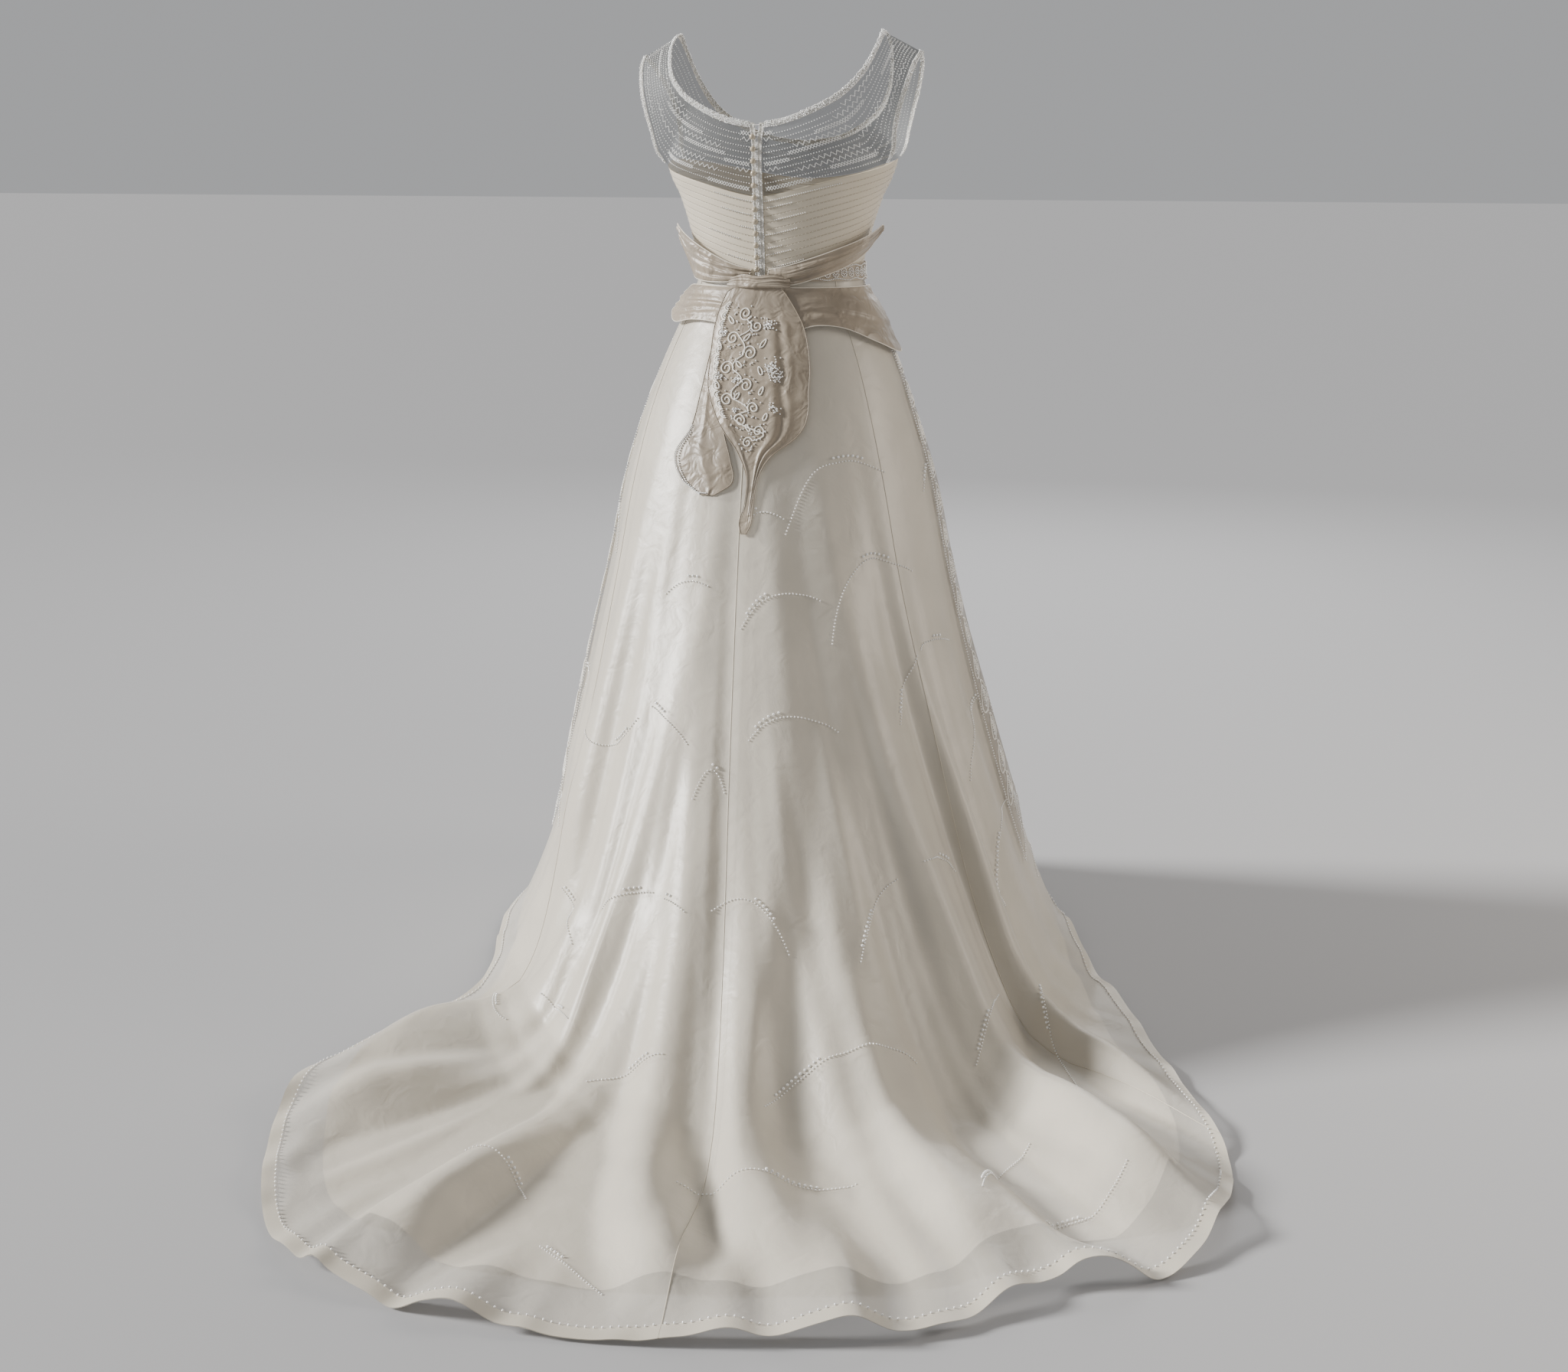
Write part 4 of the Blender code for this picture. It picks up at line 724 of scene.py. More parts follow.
def material(name, colour, roughness, alpha=1.0, sheen=0.0, metallic=0.0, coat=0.0,
             mottle=0.05, weave=0.0012, crinkle=0.0, tucks=False):
    """Cloth, thread or beads: uneven colour, a woven or dimpled surface and soft crinkles."""
    made = bpy.data.materials.new(name)
    made.use_nodes = True
    nodes, links = made.node_tree.nodes, made.node_tree.links
    shader = nodes["Principled BSDF"]
    shader.inputs["Roughness"].default_value = roughness
    shader.inputs["Metallic"].default_value = metallic
    shader.inputs["Alpha"].default_value = alpha
    shader.inputs["Sheen Weight"].default_value = sheen
    shader.inputs["Sheen Roughness"].default_value = 0.4
    shader.inputs["Coat Weight"].default_value = coat
    place = nodes.new("ShaderNodeTexCoord")
    patches = nodes.new("ShaderNodeTexNoise")
    patches.inputs["Scale"].default_value = 14.0
    patches.inputs["Detail"].default_value = 1.0
    links.new(place.outputs["Object"], patches.inputs["Vector"])
    shades = nodes.new("ShaderNodeValToRGB")
    shades.color_ramp.elements[0].position = 0.3
    shades.color_ramp.elements[1].position = 0.7
    for element, gain in zip(shades.color_ramp.elements, (1.0 - mottle, 1.0 + mottle)):
        element.color = (*(min(part * gain, 1.0) for part in colour), 1.0)
    links.new(patches.outputs["Fac"], shades.inputs["Fac"])
    links.new(shades.outputs["Color"], shader.inputs["Base Color"])
    threads = nodes.new("ShaderNodeTexNoise")
    threads.inputs["Scale"].default_value = 1.0 / weave
    threads.inputs["Detail"].default_value = 0.0
    links.new(place.outputs["Object"], threads.inputs["Vector"])
    bump = nodes.new("ShaderNodeBump")
    bump.inputs["Strength"].default_value = 0.18
    bump.inputs["Distance"].default_value = weave * 0.5
    links.new(threads.outputs["Fac"], bump.inputs["Height"])
    if crinkle:
        wrinkles = nodes.new("ShaderNodeTexNoise")
        wrinkles.inputs["Scale"].default_value = 34.0
        wrinkles.inputs["Detail"].default_value = 2.0
        wrinkles.inputs["Distortion"].default_value = 0.8
        links.new(place.outputs["Object"], wrinkles.inputs["Vector"])
        soft = nodes.new("ShaderNodeBump")
        soft.inputs["Strength"].default_value = 0.6
        soft.inputs["Distance"].default_value = crinkle
        links.new(wrinkles.outputs["Fac"], soft.inputs["Height"])
        links.new(soft.outputs["Normal"], bump.inputs["Normal"])
    if tucks:
        line_up(nodes, links, bump, shades, shader)
    links.new(bump.outputs["Normal"], shader.inputs["Normal"])
    return made


def line_up(nodes, links, bump, shades, shader):
    """Narrow stitched tucks at even distances below the bodice's upper edge, darkened along each line by painted
    shade.
    """
    where = nodes.new("ShaderNodeUVMap")
    where.uv_map = "cloth"
    split = nodes.new("ShaderNodeSeparateXYZ")
    links.new(where.outputs["UV"], split.inputs["Vector"])
    repeat = nodes.new("ShaderNodeMath")
    repeat.operation = "PINGPONG"
    repeat.inputs[1].default_value = TUCK_SPACING / 2
    links.new(split.outputs["Y"], repeat.inputs[0])
    ridge = nodes.new("ShaderNodeMapRange")
    ridge.interpolation_type = "SMOOTHSTEP"
    ridge.inputs["From Min"].default_value = 0.0
    ridge.inputs["From Max"].default_value = TUCK_SPACING * 0.14
    ridge.inputs["To Min"].default_value = 0.0
    ridge.inputs["To Max"].default_value = 1.0
    links.new(repeat.outputs["Value"], ridge.inputs["Value"])
    tuck = nodes.new("ShaderNodeBump")
    tuck.inputs["Strength"].default_value = 0.9
    tuck.inputs["Distance"].default_value = 0.0006
    links.new(ridge.outputs["Result"], tuck.inputs["Height"])
    links.new(tuck.outputs["Normal"], bump.inputs["Normal"])
    # Painted shade: the base colour is multiplied darker along each tuck line, as the tuck's fold would shade
    # it.
    shadow = nodes.new("ShaderNodeMix")
    shadow.data_type = "RGBA"
    shadow.blend_type = "MULTIPLY"
    shadow.inputs["Factor"].default_value = 1.0
    tuck_shade = nodes.new("ShaderNodeValToRGB")
    tuck_shade.color_ramp.elements[0].color = (0.74, 0.70, 0.63, 1.0)
    tuck_shade.color_ramp.elements[1].color = (1.0, 1.0, 1.0, 1.0)
    tuck_shade.color_ramp.elements[1].position = 0.5
    links.new(ridge.outputs["Result"], tuck_shade.inputs["Fac"])
    links.new(shades.outputs["Color"], shadow.inputs[6])
    links.new(tuck_shade.outputs["Color"], shadow.inputs[7])
    links.new(shadow.outputs[2], shader.inputs["Base Color"])


TUCK_SPACING = 0.0098
# The bodice's tucks bring painted shade along each tuck line.
cream = material("cream_bodice", (0.62, 0.555, 0.44), 0.5, sheen=0.3, mottle=0.05, tucks=True)
net = material("sheer_net", (0.10, 0.105, 0.105), 0.6, alpha=0.48, weave=0.0020, mottle=0.10)
beaded = material("beaded_binding", (0.52, 0.50, 0.45), 0.45, weave=0.0022, mottle=0.12)
pearl = material("pearl", (0.45, 0.385, 0.285), 0.14, coat=0.7, mottle=0.06, weave=0.004)
crystal = material("crystal", (0.98, 0.98, 0.96), 0.16, coat=1.0, mottle=0.03)
thread = material("ivory_thread", (0.88, 0.85, 0.78), 0.45, sheen=0.3, mottle=0.08)
sash = material("sash_organza", (0.32, 0.265, 0.20), 0.40, alpha=0.88, sheen=0.35, mottle=0.16,
                crinkle=0.008)
pale_edge = material("sash_pale_edge", (0.72, 0.66, 0.56), 0.42, sheen=0.3, mottle=0.06)
dark_edge = material("sash_dark_edge", (0.25, 0.205, 0.15), 0.45, sheen=0.3, mottle=0.06)
lace = material("beaded_lace", (0.34, 0.285, 0.22), 0.5, alpha=0.86, mottle=0.16, weave=0.0025)
apron_net = material("apron_net", (0.36, 0.325, 0.275), 0.5, alpha=0.45, mottle=0.12, weave=0.0020)
organza = material("overskirt_organza", (0.69, 0.645, 0.56), 0.38, alpha=0.60, sheen=0.25,
                   mottle=0.04, crinkle=0.0024)
satin = material("underskirt_satin", (0.72, 0.67, 0.575), 0.30, sheen=0.15, mottle=0.03, crinkle=0.002)
hem_look = material("hem_organza", (0.64, 0.59, 0.49), 0.40, alpha=0.80, sheen=0.2, mottle=0.05)


# Skirt

def grid(first, last, columns, low, high, rows):
    """Stations across and shares down, as two grids."""
    return np.meshgrid(np.linspace(first, last, columns), np.linspace(low, high, rows))


def hem_length(station):
    """Length of the cloth from the waist to the hem at each station."""
    shares = np.linspace(0.0, 1.0, 60)[:, None]
    points = skirt_point(station[None, :], shares)
    return np.linalg.norm(np.diff(points, axis=0), axis=-1).sum(axis=0)


HEM_WIDTH = 0.023
hem_beads = []
for gore in GORES:
    dense = 1.5 if gore.name.startswith("back") else 0.85
    columns = int((gore.last - gore.first) * dense)
    station, share = grid(gore.first + 0.02, gore.last - 0.02, columns, 0.0, 1.0, 150)
    top = skirt_point(station, share)
    top[..., 2] = np.where(share == 0.0, top[..., 2] - SEAM_GAP, top[..., 2])
    over = shell("overskirt_cloth_" + gore.name, top, organza,
                 ["overskirt_" + gore.name])
    band_station, back_from = grid(gore.first + 0.02, gore.last - 0.02, columns * 2, 1.0, 0.0, 4)
    band_share = 1.0 - back_from * HEM_WIDTH / hem_length(band_station[0])
    band = skirt_point(band_station, band_share) + skirt_normal(band_station, band_share) * 0.0010
    hem = shell("hem_band_" + gore.name, band, hem_look)
    row = band[0] + skirt_normal(band_station, band_share)[0] * 0.0010
    hem_beads.append(spaced(row, 0.0095))
    hung = share[:, 0] <= UNDERSKIRT_END
    under_station, under_share = station[hung], share[hung]
    inset = CLOTH + 0.0005 + 0.0060 * ease(0.0, 0.22, under_share) * (
        1.0 - 0.80 * ease(0.72, 0.86, under_share))
    lining = skirt_point(under_station, under_share)
    lining = lining - skirt_normal(under_station, under_share) * inset[..., None]
    lining[..., 2] = np.maximum(lining[..., 2], UNDERSKIRT_FLOOR)
    under = shell("underskirt_cloth_" + gore.name, lining, satin,
                  ["underskirt_" + gore.name])
beads("hem_beads", hem_beads, 0.0016, crystal)
seams = []
for gore in GORES:
    seam_share = np.linspace(0.0, 1.0, 200)
    seams.append(skirt_point(gore.last, seam_share) + skirt_normal(gore.last, seam_share) * 0.0002)
tube("skirt_seams", seams, 0.0007, hem_look)

arc_beads, arc_drops = [], []
for number, arc in enumerate(ARCS):
    t = np.linspace(0.0, 1.0, 160)
    first, middle, last = (1 - t) * (1 - 2 * t), 4 * t * (1 - t), t * (2 * t - 1)
    station = arc.first * first + arc.middle * middle + arc.last * last
    share = arc.first_share * first + arc.middle_share * middle + arc.last_share * last
    line = skirt_point(station, share) + skirt_normal(station, share) * 0.0012
    arc_beads.append(spaced(line, 0.0052))
    shine = (t > 0.08) & (t < 0.42) if number % 2 else (t > 0.50) & (t < 0.80)
    twin = share - 0.0045
    line = skirt_point(station[shine], twin[shine]) + skirt_normal(station[shine], twin[shine]) * 0.0014
    arc_drops.append(spaced(line, 0.0078))
beads("skirt_beads", arc_beads, 0.0014, crystal)
beads("skirt_bead_clusters", arc_drops, 0.0023, crystal)

# Apron over the front
apron_columns, apron_rows = 150, 90
edge = np.abs(np.linspace(-1.0, 1.0, apron_columns))
ends = APRON_MIDDLE + (APRON_TIP - APRON_MIDDLE) * edge ** 3
stations = np.linspace(APRON_FROM + 0.2, APRON_TO - 0.2, apron_columns)
steps = np.linspace(0.0, 1.0, apron_rows)[:, None]
apron_station = np.broadcast_to(stations, (apron_rows, apron_columns))
apron_share = ends * steps


def apron_point(station, share, lift=0.0):
    """The apron's surface over the skirt."""
    out = NET + APRON_SEAT + APRON_CLEARANCE * ease(0.0, 0.25, share) + lift
    return skirt_point(station, share) + skirt_normal(station, share) * np.asarray(out)[..., None]


apron = apron_point(apron_station, apron_share)
apron_cloth = shell("apron_cloth", apron, apron_net, ["apron_front"])
rim = np.concatenate([apron[:, 0], apron[-1, 1:-1], apron[::-1, -1]])
apron_beads = [spaced(rim, 0.0042), spaced(apron[:, 3], 0.0052), spaced(apron[:, -4], 0.0052),
               spaced(apron[-3, 2:-2], 0.0052)]
apron_cords = []
for side, first in ((1, APRON_FROM), (-1, APRON_TO)):
    for number in range(15):
        share_at = 0.06 + number * 0.045
        turn = np.linspace(0.0, 2 * math.pi, 60)
        wide, tall = 2.6 + 0.5 * (number % 3), 0.016 + 0.003 * (number % 2)
        for scale in (1.0, 0.62, 0.30):
            loop_station = first + side * (4.2 + wide * scale * np.cos(turn))
            loop_share = share_at + tall * scale * np.sin(turn) + 0.004 * np.cos(2 * turn)
            loop = apron_point(loop_station, loop_share, 0.0006)
            if scale == 0.62:
                apron_beads.append(spaced(loop, 0.0040))
            else:
                apron_cords.append(loop)
for number in range(9):
    centre = APRON_FROM + 18 + number * (APRON_TO - APRON_FROM - 36) / 8
    for share_at in (0.20 + 0.03 * (number % 2), 0.40, 0.60 - 0.03 * (number % 2)):
        t = np.linspace(-1.0, 1.0, 60)
        apron_beads.append(spaced(apron_point(centre + 7 * t, share_at - 0.03 * (1 - t * t)), 0.0060))
beads("apron_beads", apron_beads, 0.0014, crystal)
tube("apron_embroidery", apron_cords, 0.0011, thread)


# Bodice
def bodice(name, first, last, columns):
    """A bodice panel as a thin shell, its tucks counted from the upper edge."""
    turn, down = np.meshgrid(np.linspace(0.0, 1.0, columns), np.linspace(0.0, 1.0, 40))
    top_direction = first + (last - first) * turn
    low = WAIST_HEIGHT + SEAM_GAP
    height = low + (bodice_top(top_direction) - low) * down
    start = placket_direction(height)
    direction = np.where(abs(first) < 60.0, np.sign(last) * start + (last - np.sign(last) * start) * turn,
                         top_direction)
    points = body_point(direction, height)
    across = np.radians(direction) * 0.13
    uv = np.stack([across, bodice_top(direction) - height], axis=-1)
    return shell(name + "_cloth", points, cream, [name], uv), points


front_cloth, front_points = bodice("bodice_front", SIDE_SEAM + 0.15, 360.0 - SIDE_SEAM - 0.15, 120)
backs = {"left": bodice("bodice_back_left", -4.0, -SIDE_SEAM + 0.15, 70),
         "right": bodice("bodice_back_right", 4.0, SIDE_SEAM - 0.15, 70)}

tuck_beads, tuck_stitches = [], []
TuckBeads = namedtuple("TuckBeads", "row first last")
TUCK_BEADS = (
    TuckBeads(1, 5, 60), TuckBeads(1, -5, -40), TuckBeads(2, 8, 30), TuckBeads(3, -8, -36),
    TuckBeads(4, 14, 40), TuckBeads(5, -6, -20), TuckBeads(6, 6, 34), TuckBeads(7, -20, -48),
    TuckBeads(8, 8, 22), TuckBeads(9, 6, 30), TuckBeads(10, -10, -34), TuckBeads(11, 12, 40),
    TuckBeads(2, 118, 168), TuckBeads(4, 190, 240), TuckBeads(6, 140, 200), TuckBeads(8, 112, 150),
    TuckBeads(9, 200, 250), TuckBeads(11, 150, 210), TuckBeads(1, 130, 230),
)
for row in range(1, 17):
    for first, last in ((5, 93), (-93, -5), (97, 263)):
        direction = np.linspace(first, last, 240)
        height = bodice_top(direction) - row * TUCK_SPACING
        line = body_point(direction, height, 0.0004)[height > WAIST_HEIGHT + 0.004]
        if len(line) > 8:
            tuck_stitches.append(spaced(line, 0.0056))
for tuck in TUCK_BEADS:
    direction = np.linspace(tuck.first, tuck.last, 200)
    height = bodice_top(direction) - tuck.row * TUCK_SPACING + 0.0022
    line = body_point(direction, height, 0.0009)[height > WAIST_HEIGHT + 0.004]
    tuck_beads.append(spaced(line, 0.0034))
beads("tuck_beads", tuck_beads, 0.00105, crystal)
beads("tuck_stitches", tuck_stitches, 0.00055, thread)


# Yoke and its bead rows
def yoke_lift(u, v, back, side, lift):
    surface = lambda a, b: yoke_point(np.clip(a, 0.0, 1.0), np.clip(b, 0.0, 1.0), back, side)
    return surface(u, v) + outward(surface, u, v, 0.01, 0.01) * np.asarray(lift)[..., None]


def neck_share(u, back, inset):
    """How far up the yoke a line lies that runs below the neckline by the inset."""
    length = np.linalg.norm(yoke_point(u, 1.0, back, 1) - yoke_point(u, 0.9, back, 1), axis=-1) / 0.1
    return 1.0 - inset / length


yoke_dots, yoke_fancy, crust = [], [], []
jitter = np.random.default_rng(7)
for back, sides, trims in ((True, (1, -1), BACK_TRIMS), (False, (1, -1), FRONT_TRIMS)):
    for side in sides:
        word = "right" if side > 0 else "left"
        u, v = np.meshgrid(np.linspace(0.0, 1.0, 60), np.linspace(0.0, 1.0, 22))
        v = v * neck_share(u, back, BINDING_WIDTH)
        cloth = yoke_point(u, v, back, side)
        node = "yoke_back_" + word if back else "yoke_front"
        nodes = [node] if back or side > 0 else []
        made = shell("yoke_net_" + ("back_" if back else "front_") + word, cloth, net, nodes)
        us = np.linspace(0.0, 1.0, 70)
        inner = neck_share(us, back, BINDING_WIDTH)
        t = np.linspace(0.0, 1.0, 7)[:, None]
        across = inner + (1.0 - inner) * t
        strip = yoke_lift(np.broadcast_to(us, across.shape), across, back, side,
                          0.0004 + 0.0011 * np.sin(math.pi * t) + 0 * across)
        node = "neck_binding_back_" + word if back else "neck_binding_front"
        nodes = [node] if back or side > 0 else []
        neck_trim = shell("neck_trim_" + ("back_" if back else "front_") + word, strip, beaded,
                          nodes)
        for place in (0.12, 0.32, 0.52, 0.72, 0.92):
            row = yoke_lift(us, inner + (1.0 - inner) * place, back, side,
                            0.0009 + 0.0010 * math.sin(math.pi * place) + 0 * us)
            row = spaced(row, 0.0024)
            crust.append(row + jitter.normal(0.0, 0.00035, row.shape))
        rows = BACK_ROWS if back else FRONT_ROWS
        for number in range(1, rows + 1):
            level = 1.0 - number / (rows + 1)
            fancy = np.zeros(900, bool)
            run = np.linspace(0.012, 0.985, 900)
            top = neck_share(run, back, BINDING_WIDTH + 0.002)
            for trim in trims:
                if trim.row == number:
                    fancy |= (run >= trim.first) & (run <= trim.last)
                    part_us = run[(run >= trim.first) & (run <= trim.last)]
                    base = yoke_point(part_us, level * neck_share(part_us, back, BINDING_WIDTH), back, side)
                    lengths = np.linalg.norm(np.diff(base, axis=0), axis=-1).cumsum()
                    phase = np.concatenate(([0.0], lengths)) / 0.0092
                    saw = 2.0 * np.abs(2.0 * (phase % 1.0) - 1.0) - 1.0
                    swings = (saw, -saw) if trim.kind == "diamonds" else (saw,)
                    for swing in swings:
                        rise = 0.0030 / 0.11 * swing
                        line = yoke_lift(part_us, level * neck_share(part_us, back, BINDING_WIDTH) + rise,
                                         back, side, 0.0006 + 0 * part_us)
                        yoke_fancy.append(spaced(line, 0.0017))
            edges = np.flatnonzero(np.diff(np.concatenate(([1], fancy.astype(int), [1]))))
            for start, end in zip(edges[::2], edges[1::2]):
                if end - start > 12:
                    part_us = run[start:end]
                    line = yoke_lift(part_us, level * top[start:end], back, side, 0.0007 + 0 * part_us)
                    yoke_dots.append(spaced(line, 0.0042))
        arm_us = np.linspace(BINDING_START, 1.0, 50)
        rim_line = yoke_point(arm_us, 0.0, back, side)
        run_on = np.gradient(rim_line, axis=0)
        surface = lambda a, b: yoke_point(np.clip(a, 0.0, 1.0), np.clip(b, 0.0, 1.0), back, side)
        face = outward(surface, arm_us, 0.0 * arm_us + 0.02, 0.01, 0.01)
        out = unit(np.cross(run_on, face))
        inside = yoke_point(arm_us, 0.1, back, side)
        out = np.where(((rim_line - inside) * out).sum(axis=-1, keepdims=True) > 0, out, -out)
        t = np.linspace(0.0, 1.0, 6)[:, None, None]
        wide = (ARM_BINDING_START + (ARM_BINDING_WIDTH - ARM_BINDING_START)
                * ease(0.5, 0.6, arm_us))[:, None]
        strip = rim_line + out * wide * t + face * (0.0004 + 0.0010 * np.sin(math.pi * t))
        word_node = "armhole_binding_" + ("back_" if back else "front_") + word
        arm_trim = shell("armhole_trim_" + ("back_" if back else "front_") + word, strip, beaded,
                         [word_node])
        for place in (0.15, 0.5, 0.85):
            row = rim_line + out * wide * place + face * 0.0013
            row = spaced(row, 0.0025)
            crust.append(row + jitter.normal(0.0, 0.00035, row.shape))
beads("yoke_beads", yoke_dots, 0.00095, crystal)
beads("yoke_motif_beads", yoke_fancy, 0.00075, crystal)

# Plackets, buttons and loops
for word, side in (("left", 1), ("right", -1)):
    heights = np.linspace(WAIST_HEIGHT + 0.004, PLACKET_TOP - 0.001, 200)
    for share in (0.12, 0.88):
        aside = side * (placket_edge(heights) + PLACKET_WIDTH * share)
        row = spaced(centre_back(aside, heights, PLACKET_RISE + 0.0007), 0.0026)
        crust.append(row + jitter.normal(0.0, 0.0003, row.shape))
    across, up = np.meshgrid(np.linspace(0.0, 1.0, 9), np.linspace(WAIST_HEIGHT + SEAM_GAP, PLACKET_TOP, 120))
    strip = centre_back(side * (placket_edge(up) + PLACKET_WIDTH * across), up,
                        PLACKET_RISE + 0.0005 * np.sin(math.pi * across))
    made = shell("placket_strip_" + word, strip, beaded, ["placket_" + word])
crust = np.concatenate(crust)
crust_sizes = jitter.uniform(0.0008, 0.0014, len(crust))
beads("binding_beads", [crust], crust_sizes, crystal)

PEARL_DIAMETER = BUTTON_DIAMETER + 0.0010
loops = []
for number, height in enumerate(np.linspace(BUTTON_TOP, BUTTON_BOTTOM, BUTTON_COUNT), start=1):
    aside = placket_edge(height) + PLACKET_WIDTH / 2
    rise = PLACKET_RISE + PEARL_DIAMETER / 2 + BUTTON_CLEARANCE
    centre = centre_back(aside, height, rise)
    name = "pearl_button_%02d" % number
    turn, tilt = np.meshgrid(np.linspace(0.0, 2 * math.pi, 25), np.linspace(0.0, math.pi, 15))
    ball = np.stack([np.sin(tilt) * np.cos(turn), -np.cos(tilt), np.sin(tilt) * np.sin(turn)], axis=-1)
    shell(name, centre + ball * PEARL_DIAMETER / 2, pearl, ["button_%02d" % number])
    swing = np.linspace(-0.5 * math.pi, 0.5 * math.pi, 18)
    reach = aside + placket_edge(height) + 0.003
    loop_x = aside - reach + (reach + PEARL_DIAMETER * 0.42) * np.cos(swing)
    loops.append(centre_back(loop_x, height + 0.0022 * np.sin(swing), PLACKET_RISE + 0.0012))
for height in (PLACKET_TOP - 0.002, PLACKET_TOP - 0.012):
    reach = placket_edge(height) + 0.002
    span = np.linspace(-reach, reach, 12)
    sag = 0.0012 * (1 - (span / reach) ** 2)
    loops.append(centre_back(span, height - sag, PLACKET_RISE + 0.0008))
tube("button_loops", loops, 0.00045, thread)


# Sash
def band_point(table, direction, share, relief=0.0):
    """A piece round the waist, standing off the cloth below it."""
    low, high, low_out, high_out = (curve(table, "direction", field, direction)
                                    for field in ("low", "high", "low_out", "high_out"))
    return body_point(direction, low + (high - low) * share, low_out + (high_out - low_out) * share + relief)


def gathers(across, share, seed, depth):
    """Soft uneven ridges that fan out from the knot."""
    rng = np.random.default_rng(seed)
    total = 0.0 * across * share
    for _ in range(9):
        at, drift, wide = rng.uniform(0.05, 0.95), rng.uniform(-0.35, 0.35), rng.uniform(0.05, 0.11)
        strength = rng.uniform(0.4, 1.0)
        total = total + strength * np.exp(-((share - at - drift * (across - 0.3)) / wide) ** 2)
    return depth * np.clip(total, 0.0, 1.2)


def border(points):
    return np.concatenate([points[0], points[1:, -1], points[-1, -2::-1], points[-2:0:-1, 0], points[0, :1]])


pale_lines, dark_lines = [], []
for name, table, seed, depth in (
        ("sash_wing_left", WING_LEFT, 3, 0.0042), ("sash_wing_right", WING_RIGHT, 5, 0.0042),
        ("sash_knot", KNOT, 8, 0.0026), ("peplum_left", PEPLUM_LEFT, 11, 0.0030),
        ("peplum_right", PEPLUM_RIGHT, 14, 0.0032)):
    across, share = np.meshgrid(np.linspace(0.0, 1.0, 90), np.linspace(0.0, 1.0, 50))
    direction = table[0].direction + (table[-1].direction - table[0].direction) * across
    fade = np.sin(math.pi * np.clip(share, 0.0, 1.0)) ** 0.5
    points = band_point(table, direction, share, gathers(across, share, seed, depth) * fade)
    made = shell(name + "_cloth", points, sash, [name])
    if name != "sash_knot":
        pale_lines.append(border(points))
tube("sash_pale_edges", pale_lines, 0.0007, pale_edge)

direction, share = np.meshgrid(np.linspace(34.0, 326.0, 160), np.linspace(0.0, 1.0, 14))
points = band_point(WAISTBAND, direction, share)
made = shell("waistband_lace", points, lace, ["waistband"])
lace_beads = []
for level in (0.06, 0.94):
    run = np.linspace(34.5, 325.5, 900)
    wave = 0.05 * np.sin(np.radians(run * 24))
    lace_beads.append(spaced(band_point(WAISTBAND, run, level - math.copysign(0.05, level - 0.5) + wave,
                                        0.0010), 0.0030))
for number in range(46):
    middle = 38.0 + number * 6.2
    turn = np.linspace(0.0, 2 * math.pi, 50)
    for scale in (1.0, 0.45):
        ring = band_point(WAISTBAND, middle + 2.2 * scale * np.cos(turn), 0.5 + 0.26 * scale * np.sin(turn),
                          0.0011)
        lace_beads.append(spaced(ring, 0.0027))
beads("waistband_beads", lace_beads, 0.00105, crystal)


def tail_grid(table, rows, columns, relief):
    """A hanging tail of the sash, laid over the back of the skirt."""
    ordered = tuple(reversed(table))
    across, height = np.meshgrid(np.linspace(0.0, 1.0, columns),
                                 np.linspace(table[0].height, table[-1].height, rows))
    left, right, out = (curve(ordered, "height", field, height) for field in ("left", "right", "out"))
    return over_skirt(left + (right - left) * across, height, out + relief(across, height))


def long_relief(across, height):
    hang = ease(0.0, 0.1, 1.05 - height)
    ridges = (np.exp(-((across - 0.10) / 0.05) ** 2) + np.exp(-((across - 0.66) / 0.06) ** 2)
              + 0.7 * np.exp(-((across - 0.82) / 0.04) ** 2) - 0.5 * np.exp(-((across - 0.74) / 0.03) ** 2))
    return 0.0022 * ridges * hang * ease(0.70, 0.80, height)


def short_relief(across, height):
    ridges = np.exp(-((across - 0.30 - 2.0 * (0.9 - height)) / 0.08) ** 2)
    return 0.0016 * ridges


long_tail = tail_grid(LONG_TAIL, 150, 60, long_relief)
made = shell("sash_tail_long_cloth", long_tail, sash, ["sash_tail_long"])
dark_lines.append(border(long_tail))
short_tail = tail_grid(SHORT_TAIL, 90, 50, short_relief)
made = shell("sash_tail_short_cloth", short_tail, sash, ["sash_tail_short"])
dark_lines.append(border(short_tail))
tube("sash_dark_edges", dark_lines, 0.00075, dark_edge)


def on_tail(aside, height, lift):
    """Points on the face of the long tail; the design leans to the wide part's left."""
    ordered = tuple(reversed(LONG_TAIL))
    left, right, out = (curve(ordered, "height", field, height) for field in ("left", "right", "out"))
    aside = aside + 0.011 * ease(0.84, 0.90, height)
    across = (aside - left) / (right - left)
    return over_skirt(aside, height, out + long_relief(across, height) + lift)


cords, cord_beads = [], []
for scroll in SCROLLS:
    t = np.linspace(0.0, 1.0, 70)
    angle = math.radians(scroll.opens) + 2 * math.pi * scroll.turns * t
    radius = scroll.radius * (1.0 - 0.80 * t)
    cords.append(on_tail(scroll.aside + radius * np.cos(angle), scroll.height + radius * np.sin(angle), 0.0006))
for first, second in zip(SCROLLS, SCROLLS[1:]):
    t = np.linspace(0.0, 1.0, 40)
    start = math.radians(first.opens)
    end = math.radians(second.opens)
    a = np.array((first.aside + first.radius * math.cos(start), first.height + first.radius * math.sin(start)))
    b = np.array((second.aside + second.radius * math.cos(end), second.height + second.radius * math.sin(end)))
    bow = 0.006 * np.sin(math.pi * t) * (1 if first.turns > 0 else -1)
    cords.append(on_tail(a[0] + (b[0] - a[0]) * t + bow, a[1] + (b[1] - a[1]) * t, 0.0006))
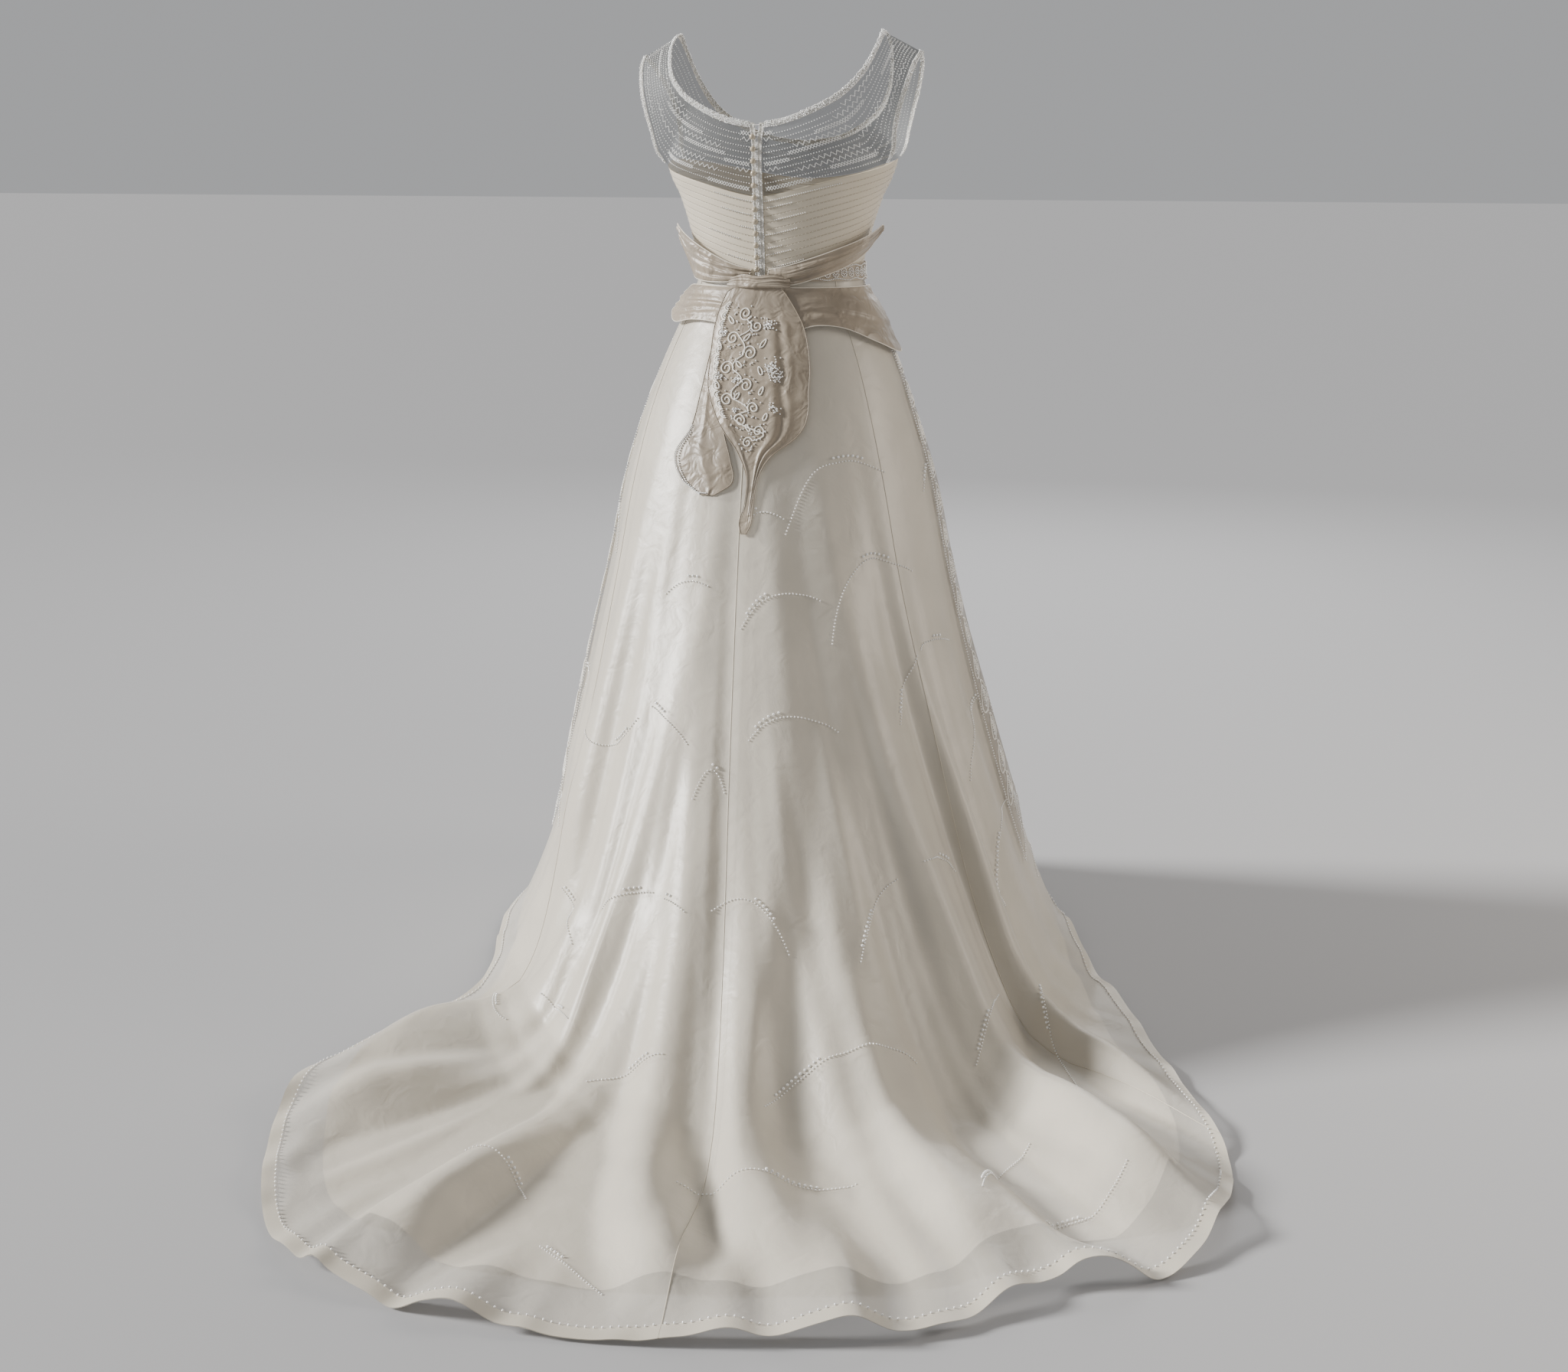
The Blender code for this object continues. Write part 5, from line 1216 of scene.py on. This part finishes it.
for leaf in LEAVES:
    t = np.linspace(0.0, 2 * math.pi, 40)
    lean = math.radians(leaf.turn)
    long, wide = leaf.length / 2 * np.cos(t), leaf.length * 0.22 * np.sin(t) * np.abs(np.sin(t / 2)) ** 0.4
    cords.append(on_tail(leaf.aside + long * math.cos(lean) - wide * math.sin(lean),
                         leaf.height + long * math.sin(lean) + wide * math.cos(lean), 0.0006))
scallop_heights = np.arange(0.858, 1.012, 0.0125)
for low in scallop_heights:
    t = np.linspace(0.0, math.pi, 24)
    for size in (0.0060, 0.0034):
        rise = low + 0.00625 - size * np.cos(t)
        edge_aside = curve(tuple(reversed(LONG_TAIL)), "height", "left", rise)
        shift = 0.011 * ease(0.84, 0.90, rise)
        cords.append(on_tail(edge_aside - 0.016 + 1.2 * size * np.sin(t) - shift, rise, 0.0006))
tube("tail_embroidery", cords, 0.0010, thread)
for height in scallop_heights + 0.00625:
    edge_aside = curve(tuple(reversed(LONG_TAIL)), "height", "left", np.array([height]))
    cord_beads.append(on_tail(edge_aside - 0.0145 - 0.011 * ease(0.84, 0.90, height), height, 0.0012))
trimmed = np.concatenate([short_tail[48:, 1], short_tail[-2, 1:26]]) + (0.0, 0.0014, 0.0)
cord_beads.append(spaced(trimmed, 0.0027))
cord_beads.append(spaced(short_tail[52:, 4] + (0.0, 0.0014, 0.0), 0.0040))
for cluster in CLUSTERS:
    spot = jitter.normal(0.0, 0.45, (cluster.beads, 2)) * cluster.radius
    cord_beads.append(on_tail(cluster.aside + spot[:, 0], cluster.height + spot[:, 1], 0.0012))
for scroll in SCROLLS:
    turn = jitter.uniform(0.0, 2 * math.pi, 12)
    reach = scroll.radius * jitter.uniform(1.15, 1.7, 12)
    cord_beads.append(on_tail(scroll.aside + reach * np.cos(turn), scroll.height + reach * np.sin(turn), 0.0010))
beads("tail_beads", cord_beads, 0.0013, crystal)

# Floor, light and camera
FLOOR_HALF = 60.0
ground = -SHOULDER_HEIGHT - 0.0006
floor_mesh = bpy.data.meshes.new("floor")
floor_mesh.from_pydata([(-FLOOR_HALF, -FLOOR_HALF, ground), (FLOOR_HALF, -FLOOR_HALF, ground),
                        (FLOOR_HALF, FLOOR_HALF, ground), (-FLOOR_HALF, FLOOR_HALF, ground)],
                       [], [(0, 1, 2, 3)])
floor = bpy.data.objects.new("floor", floor_mesh)
floor_look = bpy.data.materials.new("floor_paint")
floor_look.use_nodes = True
floor_look.node_tree.nodes["Principled BSDF"].inputs["Base Color"].default_value = (0.38, 0.38, 0.39, 1.0)
floor_look.node_tree.nodes["Principled BSDF"].inputs["Roughness"].default_value = 0.8
floor_mesh.materials.append(floor_look)
bpy.context.scene.collection.objects.link(floor)

# The world is paler to the camera than the light it gives
WORLD_LIGHT, WORLD_SEEN = 0.30, 0.44
world = bpy.data.worlds.new("studio")
world.use_nodes = True
background = world.node_tree.nodes["Background"]
background.inputs["Color"].default_value = (0.92, 0.93, 0.95, 1.0)
seen = world.node_tree.nodes.new("ShaderNodeLightPath")
strength = world.node_tree.nodes.new("ShaderNodeMath")
strength.operation = "MULTIPLY_ADD"
strength.inputs[1].default_value = WORLD_SEEN - WORLD_LIGHT
strength.inputs[2].default_value = WORLD_LIGHT
world.node_tree.links.new(seen.outputs["Is Camera Ray"], strength.inputs[0])
world.node_tree.links.new(strength.outputs["Value"], background.inputs["Strength"])
bpy.context.scene.world = world

Lamp = namedtuple("Lamp", "name kind x y z size power red green blue")
LAMPS = (
    Lamp("key", "SUN", 3.2, 1.25, 0.75, 0.20, 7.8, 1.0, 0.985, 0.96),
    Lamp("top", "AREA", 0.2, 3.0, 2.2, 1.8, 8.0, 1.0, 1.0, 1.0),
    Lamp("side", "AREA", -3.2, -0.6, 0.3, 1.2, 55.0, 1.0, 0.90, 0.78),
    Lamp("front", "AREA", 0.4, -3.6, 1.2, 2.4, 70.0, 1.0, 1.0, 1.0),
)
for lamp in LAMPS:
    data = bpy.data.lights.new(lamp.name, lamp.kind)
    if lamp.kind == "SUN":
        data.angle = lamp.size
    else:
        data.size = lamp.size
    data.energy = lamp.power
    data.color = (lamp.red, lamp.green, lamp.blue)
    light = bpy.data.objects.new(lamp.name, data)
    light.location = (lamp.x, lamp.y, lamp.z)
    aim = np.array((0.0, 0.2, -0.8)) - np.array(light.location)
    light.rotation_euler = (math.atan2(np.hypot(aim[0], aim[1]), -aim[2]), 0.0,
                            math.atan2(aim[1], aim[0]) - math.pi / 2)
    bpy.context.scene.collection.objects.link(light)

CAMERA_REACH, CAMERA_HEIGHT, CAMERA_PITCH, CAMERA_TURN = 3.2, 1.2349, 14.5, 20.0
camera_data = bpy.data.cameras.new("camera")
camera_data.lens = 46.83
camera_data.sensor_width = 36.0
camera_data.shift_x = 5.0 / 2048
camera = bpy.data.objects.new("camera", camera_data)
turn = math.radians(CAMERA_TURN)
camera.location = (-math.sin(turn) * CAMERA_REACH, math.cos(turn) * CAMERA_REACH,
                   CAMERA_HEIGHT - SHOULDER_HEIGHT)
camera.rotation_euler = (math.radians(90.0 - CAMERA_PITCH), 0.0, math.pi + turn)
bpy.context.scene.collection.objects.link(camera)
bpy.context.scene.camera = camera
